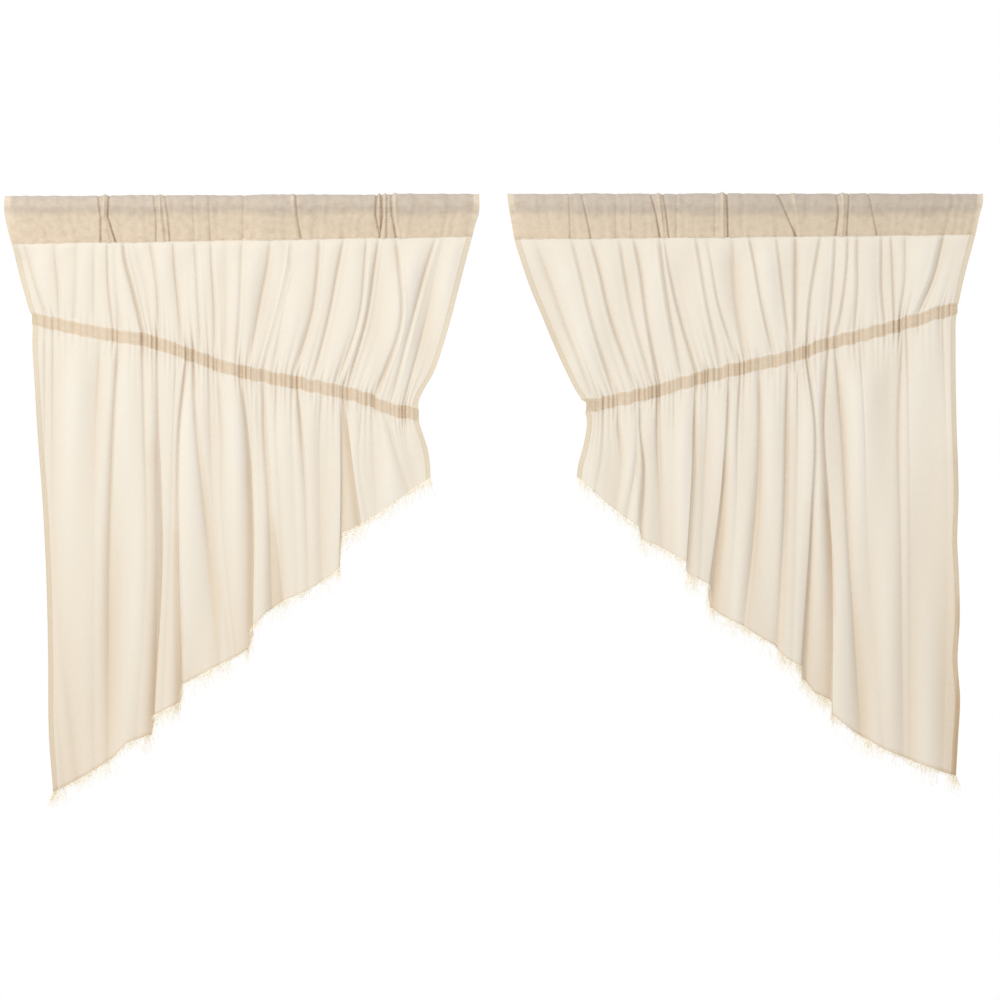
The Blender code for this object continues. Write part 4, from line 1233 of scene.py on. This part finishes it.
def geometry_tree(name):
    tree = bpy.data.node_groups.new(name, "GeometryNodeTree")
    tree.interface.new_socket("Geometry", in_out="OUTPUT", socket_type="NodeSocketGeometry")
    socket_in(tree, "Geometry", "NodeSocketGeometry")
    return tree, tree.nodes.new("NodeGroupInput"), tree.nodes.new("NodeGroupOutput")


def grow(tree, kind, settings=None, sockets=None):
    """A node in a geometry tree, with its settings and the values or links of its sockets."""
    made = tree.nodes.new(kind)
    for name, value in (settings or {}).items():
        setattr(made, name, value)
    for name, value in (sockets or {}).items():
        if isinstance(value, bpy.types.NodeSocket):
            tree.links.new(value, made.inputs[name])
        else:
            made.inputs[name].default_value = value
    return made


def swept(tree, path, radius, sides):
    """A closed round thread of this radius along a path."""
    profile = grow(
        tree,
        "GeometryNodeCurvePrimitiveCircle",
        {"mode": "RADIUS"},
        {"Resolution": sides, "Radius": radius},
    )
    return grow(
        tree,
        "GeometryNodeCurveToMesh",
        None,
        {"Curve": path.outputs[0], "Profile Curve": profile.outputs[0], "Fill Caps": True},
    )


def close_tree(tree, start, end, spread):
    """Ends a tree with real meshes of what it spreads, in the finish that it is given."""
    real = grow(tree, "GeometryNodeRealizeInstances", None, {0: spread.outputs[0]})
    sockets = {0: real.outputs[0], "Material": start.outputs["Finish"]}
    finished = grow(tree, "GeometryNodeSetMaterial", None, sockets)
    tree.links.new(finished.outputs[0], end.inputs[0])


def thread_tree():
    """Puts bent threads on the points it is given, by their own lean, reach and kind."""
    tree, start, end = geometry_tree("loose_threads")
    names = {
        "radius": socket_in(tree, "Thread radius", "NodeSocketFloat"),
        "bend": socket_in(tree, "Thread bend", "NodeSocketFloat"),
        "finish": socket_in(tree, "Finish", "NodeSocketMaterial"),
    }
    bunch = tree.nodes.new("GeometryNodeJoinGeometry")
    for kind in range(THREAD_KINDS):
        line = grow(tree, "GeometryNodeCurvePrimitiveLine", None, {"Start": (0, 0, 0), "End": (0, 0, -1)})
        points = {"Curve": line.outputs[0], "Count": THREAD_POINTS}
        fine = grow(tree, "GeometryNodeResampleCurve", {"mode": "COUNT"}, points)
        where = tree.nodes.new("GeometryNodeInputPosition")
        noise = grow(
            tree,
            "ShaderNodeTexNoise",
            {"noise_dimensions": "4D"},
            {"Vector": where.outputs[0], "W": kind * KIND_STEP, "Scale": 1.6, "Detail": 1.0},
        )
        centred = grow(
            tree,
            "ShaderNodeVectorMath",
            {"operation": "SUBTRACT"},
            {0: noise.outputs["Color"], 1: (0.5, 0.5, 0.5)},
        )
        split = grow(tree, "ShaderNodeSeparateXYZ", None, {0: where.outputs[0]})
        growing = grow(
            tree,
            "ShaderNodeMath",
            {"operation": "MULTIPLY"},
            {0: split.outputs["Z"], 1: start.outputs["Thread bend"]},
        )
        moved = grow(
            tree,
            "ShaderNodeVectorMath",
            {"operation": "SCALE"},
            {0: centred.outputs[0], "Scale": growing.outputs[0]},
        )
        sideways = {0: moved.outputs[0], 1: (4, 4, 0)}
        flat = grow(tree, "ShaderNodeVectorMath", {"operation": "MULTIPLY"}, sideways)
        bend = {"Geometry": fine.outputs[0], "Offset": flat.outputs[0]}
        bent = grow(tree, "GeometryNodeSetPosition", None, bend)
        solid = swept(tree, bent, start.outputs["Thread radius"], THREAD_SIDES)
        single = grow(tree, "GeometryNodeGeometryToInstance", None, {0: solid.outputs[0]})
        tree.links.new(single.outputs[0], bunch.inputs[0])
    reads = {
        name: grow(tree, "GeometryNodeInputNamedAttribute", {"data_type": kind}, {"Name": name})
        for name, kind in (("lean", "FLOAT_VECTOR"), ("reach", "FLOAT_VECTOR"), ("kind", "INT"))
    }
    turned = grow(tree, "FunctionNodeEulerToRotation", None, {0: reads["lean"].outputs[0]})
    hung = grow(
        tree,
        "GeometryNodeInstanceOnPoints",
        None,
        {
            "Points": start.outputs["Geometry"],
            "Instance": bunch.outputs[0],
            "Pick Instance": True,
            "Instance Index": reads["kind"].outputs[0],
            "Rotation": turned.outputs[0],
            "Scale": reads["reach"].outputs[0],
        },
    )
    close_tree(tree, start, end, hung)
    return tree, names


def seed_points(name, points, values):
    """An object of loose points for a geometry tree, with named values on each of them."""
    mesh = bpy.data.meshes.new(name)
    mesh.from_pydata(points, [], [])
    for title, kind, rows in values:
        layer = mesh.attributes.new(title, kind, "POINT")
        if kind == "INT":
            layer.data.foreach_set("value", np.array(rows, dtype=np.int32))
        else:
            layer.data.foreach_set("vector", np.array(rows, dtype=np.float32).ravel())
    seeds = bpy.data.objects.new(name, mesh)
    bpy.context.scene.collection.objects.link(seeds)
    return seeds


def apply_tree(name, source, tree, values):
    """Runs a geometry tree on a source object and returns the result as a plain mesh object."""
    modifier = source.modifiers.new("made", "NODES")
    modifier.node_group = tree
    for identifier, value in values.items():
        modifier[identifier] = value
    bpy.context.view_layer.update()
    graph = bpy.context.evaluated_depsgraph_get()
    mesh = bpy.data.meshes.new_from_object(source.evaluated_get(graph))
    source.modifiers.remove(modifier)
    bpy.data.objects.remove(source)
    mesh.name = name
    made = bpy.data.objects.new(name, mesh)
    bpy.context.scene.collection.objects.link(made)
    return made


# The loose threads glow faintly, a painted glow that stands in for light shining through them.
def thread_finish():
    finish = Finish("loose_cotton")
    colour = finish.mottle((0.92, 0.83, 0.65), (1.0, 0.97, 0.88), 160.0, 1.0)
    front = finish.node(
        "ShaderNodeBsdfPrincipled",
        None,
        {"Base Color": colour, "Roughness": 0.8, "Emission Color": colour, "Emission Strength": 0.12},
    )
    through = finish.node("ShaderNodeBsdfTranslucent", None, {"Color": colour})
    return finish.close(finish.node("ShaderNodeMixShader", None, {0: 0.3, 1: front, 2: through}))


def loose_ends(panel, edge, edge_places):
    """The roots, leans, reaches and kinds of the threads that hang from a panel's cut edge."""
    dice = random.Random(THREAD_SEED + panel.side)
    roots, leans, reaches, kinds = [], [], [], []
    tufts = [dice.uniform(0, CUT_WIDTH) for _ in range(TUFTS)]
    edge_across = HALF_SPAN - panel.side * edge[:, 0]
    for one, next_one in zip(panel.hem, panel.hem[1:]):
        if abs(next_one.drop - one.drop) > STEEP_STEP * (next_one.across - one.across):
            tufts += [float(np.interp(one.across, edge_across, edge_places))] * 3
    tufts += [CORNER_TUFT] * 5
    for number in range(SHORT_THREADS + LONG_THREADS):
        long_one = number >= SHORT_THREADS
        tuft = None
        if long_one and dice.random() < TUFTED_SHARE:
            tuft = dice.choice(tufts)
            where = tuft + dice.gauss(0, TUFT_SPREAD)
        else:
            where = dice.uniform(0.0, CUT_WIDTH)
        where = min(max(where, EDGE_MARGIN), CUT_WIDTH - EDGE_MARGIN)
        root = point_at(where, edge_places, edge)
        root[2] += ROOT_COVERED
        lean = dice.gauss(0, 0.16)
        if tuft is not None:
            lean += (where - tuft) * TUFT_FAN * panel.side
        if tuft == CORNER_TUFT:
            lean -= CORNER_LEAN * panel.side
        length = dice.uniform(0.004, 0.013) * (0.75 + 0.35 * math.sin(where * 61 + 9 * panel.side))
        if long_one:
            length = 0.012 + 0.020 * dice.random() ** 1.6
        roots.append(tuple(root))
        leans.append((dice.gauss(0, 0.10), lean, 0.0))
        reaches.append((1.0, 1.0, length))
        kinds.append(dice.randrange(THREAD_KINDS))
    return roots, leans, reaches, kinds


threads, thread_inputs = thread_tree()
loose_cotton = thread_finish()
for panel in (LEFT, RIGHT):
    cloth = surfaces[panel.name]
    roots, leans, reaches, kinds = loose_ends(panel, cloth.front[-1], cloth.places[-1])
    values = (("lean", "FLOAT_VECTOR", leans), ("reach", "FLOAT_VECTOR", reaches), ("kind", "INT", kinds))
    piece = apply_tree(
        f"{panel.name}_fringe",
        seed_points("thread_roots", roots, values),
        threads,
        {
            thread_inputs["radius"]: THREAD_RADIUS,
            thread_inputs["bend"]: THREAD_BEND,
            thread_inputs["finish"]: loose_cotton,
        },
    )
    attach(piece, "root")
    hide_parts(f"{panel.name}_frayed_fringe")


# The stitching. Each panel is sewn with one cream thread in plain straight stitches: along the rod
# pocket's seam, along both edges of the tape and down both side hems.
STITCH_STEP = 0.0032
STITCH_LENGTH = 0.0023
STITCH_RADIUS = 0.00016
STITCH_SIDES = 4
STITCH_RAISED = 0.0003
HEM_SEAM = SIDE_HEM * 0.86


def stitch_tree():
    """Lays a short bowed thread on each point, turned by the point's own turn."""
    tree, start, end = geometry_tree("straight_stitches")
    names = {
        "radius": socket_in(tree, "Stitch radius", "NodeSocketFloat"),
        "length": socket_in(tree, "Stitch length", "NodeSocketFloat"),
        "finish": socket_in(tree, "Finish", "NodeSocketMaterial"),
    }
    bow = grow(
        tree,
        "GeometryNodeCurveQuadraticBezier",
        None,
        {"Resolution": 3, "Start": (-0.5, 0, 0), "Middle": (0, 0, 0), "End": (0.5, 0, 0)},
    )
    lengths = {"X": start.outputs["Stitch length"], "Y": 1.0, "Z": 1.0}
    size = grow(tree, "ShaderNodeCombineXYZ", None, lengths)
    sized = grow(
        tree, "GeometryNodeTransform", None, {"Geometry": bow.outputs[0], "Scale": size.outputs[0]}
    )
    solid = swept(tree, sized, start.outputs["Stitch radius"], STITCH_SIDES)
    turn = grow(
        tree, "GeometryNodeInputNamedAttribute", {"data_type": "FLOAT_VECTOR"}, {"Name": "turn"}
    )
    turned = grow(tree, "FunctionNodeEulerToRotation", None, {0: turn.outputs[0]})
    laid = grow(
        tree,
        "GeometryNodeInstanceOnPoints",
        None,
        {
            "Points": start.outputs["Geometry"],
            "Instance": solid.outputs[0],
            "Rotation": turned.outputs[0],
        },
    )
    close_tree(tree, start, end, laid)
    return tree, names


def stitch_places(line):
    """(place, turn) of the stitches along a line of points."""
    along = np.concatenate([[0], np.cumsum(np.linalg.norm(np.diff(line, axis=0), axis=1))])
    found = []
    for reach in np.arange(STITCH_STEP, along[-1] - STITCH_STEP, STITCH_STEP):
        first = point_at(reach - STITCH_LENGTH / 2, along, line)
        last = point_at(reach + STITCH_LENGTH / 2, along, line)
        turn = Vector(last - first).to_track_quat("X", "Z").to_euler()
        found.append((tuple((first + last) / 2), tuple(turn)))
    return found


stitches, stitch_inputs = stitch_tree()
cream_thread = mottled("sewing_thread", (0.62, 0.53, 0.40), (0.80, 0.72, 0.58), 900.0, 1.0, 0.7)
for panel in (LEFT, RIGHT):
    cloth = surfaces[panel.name]
    raised = cloth.front - cloth.behind * STITCH_RAISED
    lines = [seam_lines[panel.name], raised[UPPER_ROWS], raised[UPPER_ROWS + TAPE_ROWS - 1]]
    for at in (HEM_SEAM, CUT_WIDTH - HEM_SEAM):
        lines.append(np.array([point_at(at, along, row) for along, row in zip(cloth.places, raised)]))
    sewn = [stitch for line in lines for stitch in stitch_places(line)]
    turns = [turn for _, turn in sewn]
    piece = apply_tree(
        f"{panel.name}_stitches",
        seed_points("stitch_places", [place for place, _ in sewn], [("turn", "FLOAT_VECTOR", turns)]),
        stitches,
        {
            stitch_inputs["radius"]: STITCH_RADIUS,
            stitch_inputs["length"]: STITCH_LENGTH,
            stitch_inputs["finish"]: cream_thread,
        },
    )
    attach(piece, "root")


# The area of each panel's slanted cut. The panel is as wide as the cloth, and its length runs from
# the pocket's seam to the frayed edge; the area is worked out but not kept.
for panel in (LEFT, RIGHT):
    outer_length = panel.hem[0].drop - panel.seam[0]
    inner_length = panel.hem[-1].drop - panel.seam[1]
    CUT_WIDTH * (outer_length + inner_length) / 2
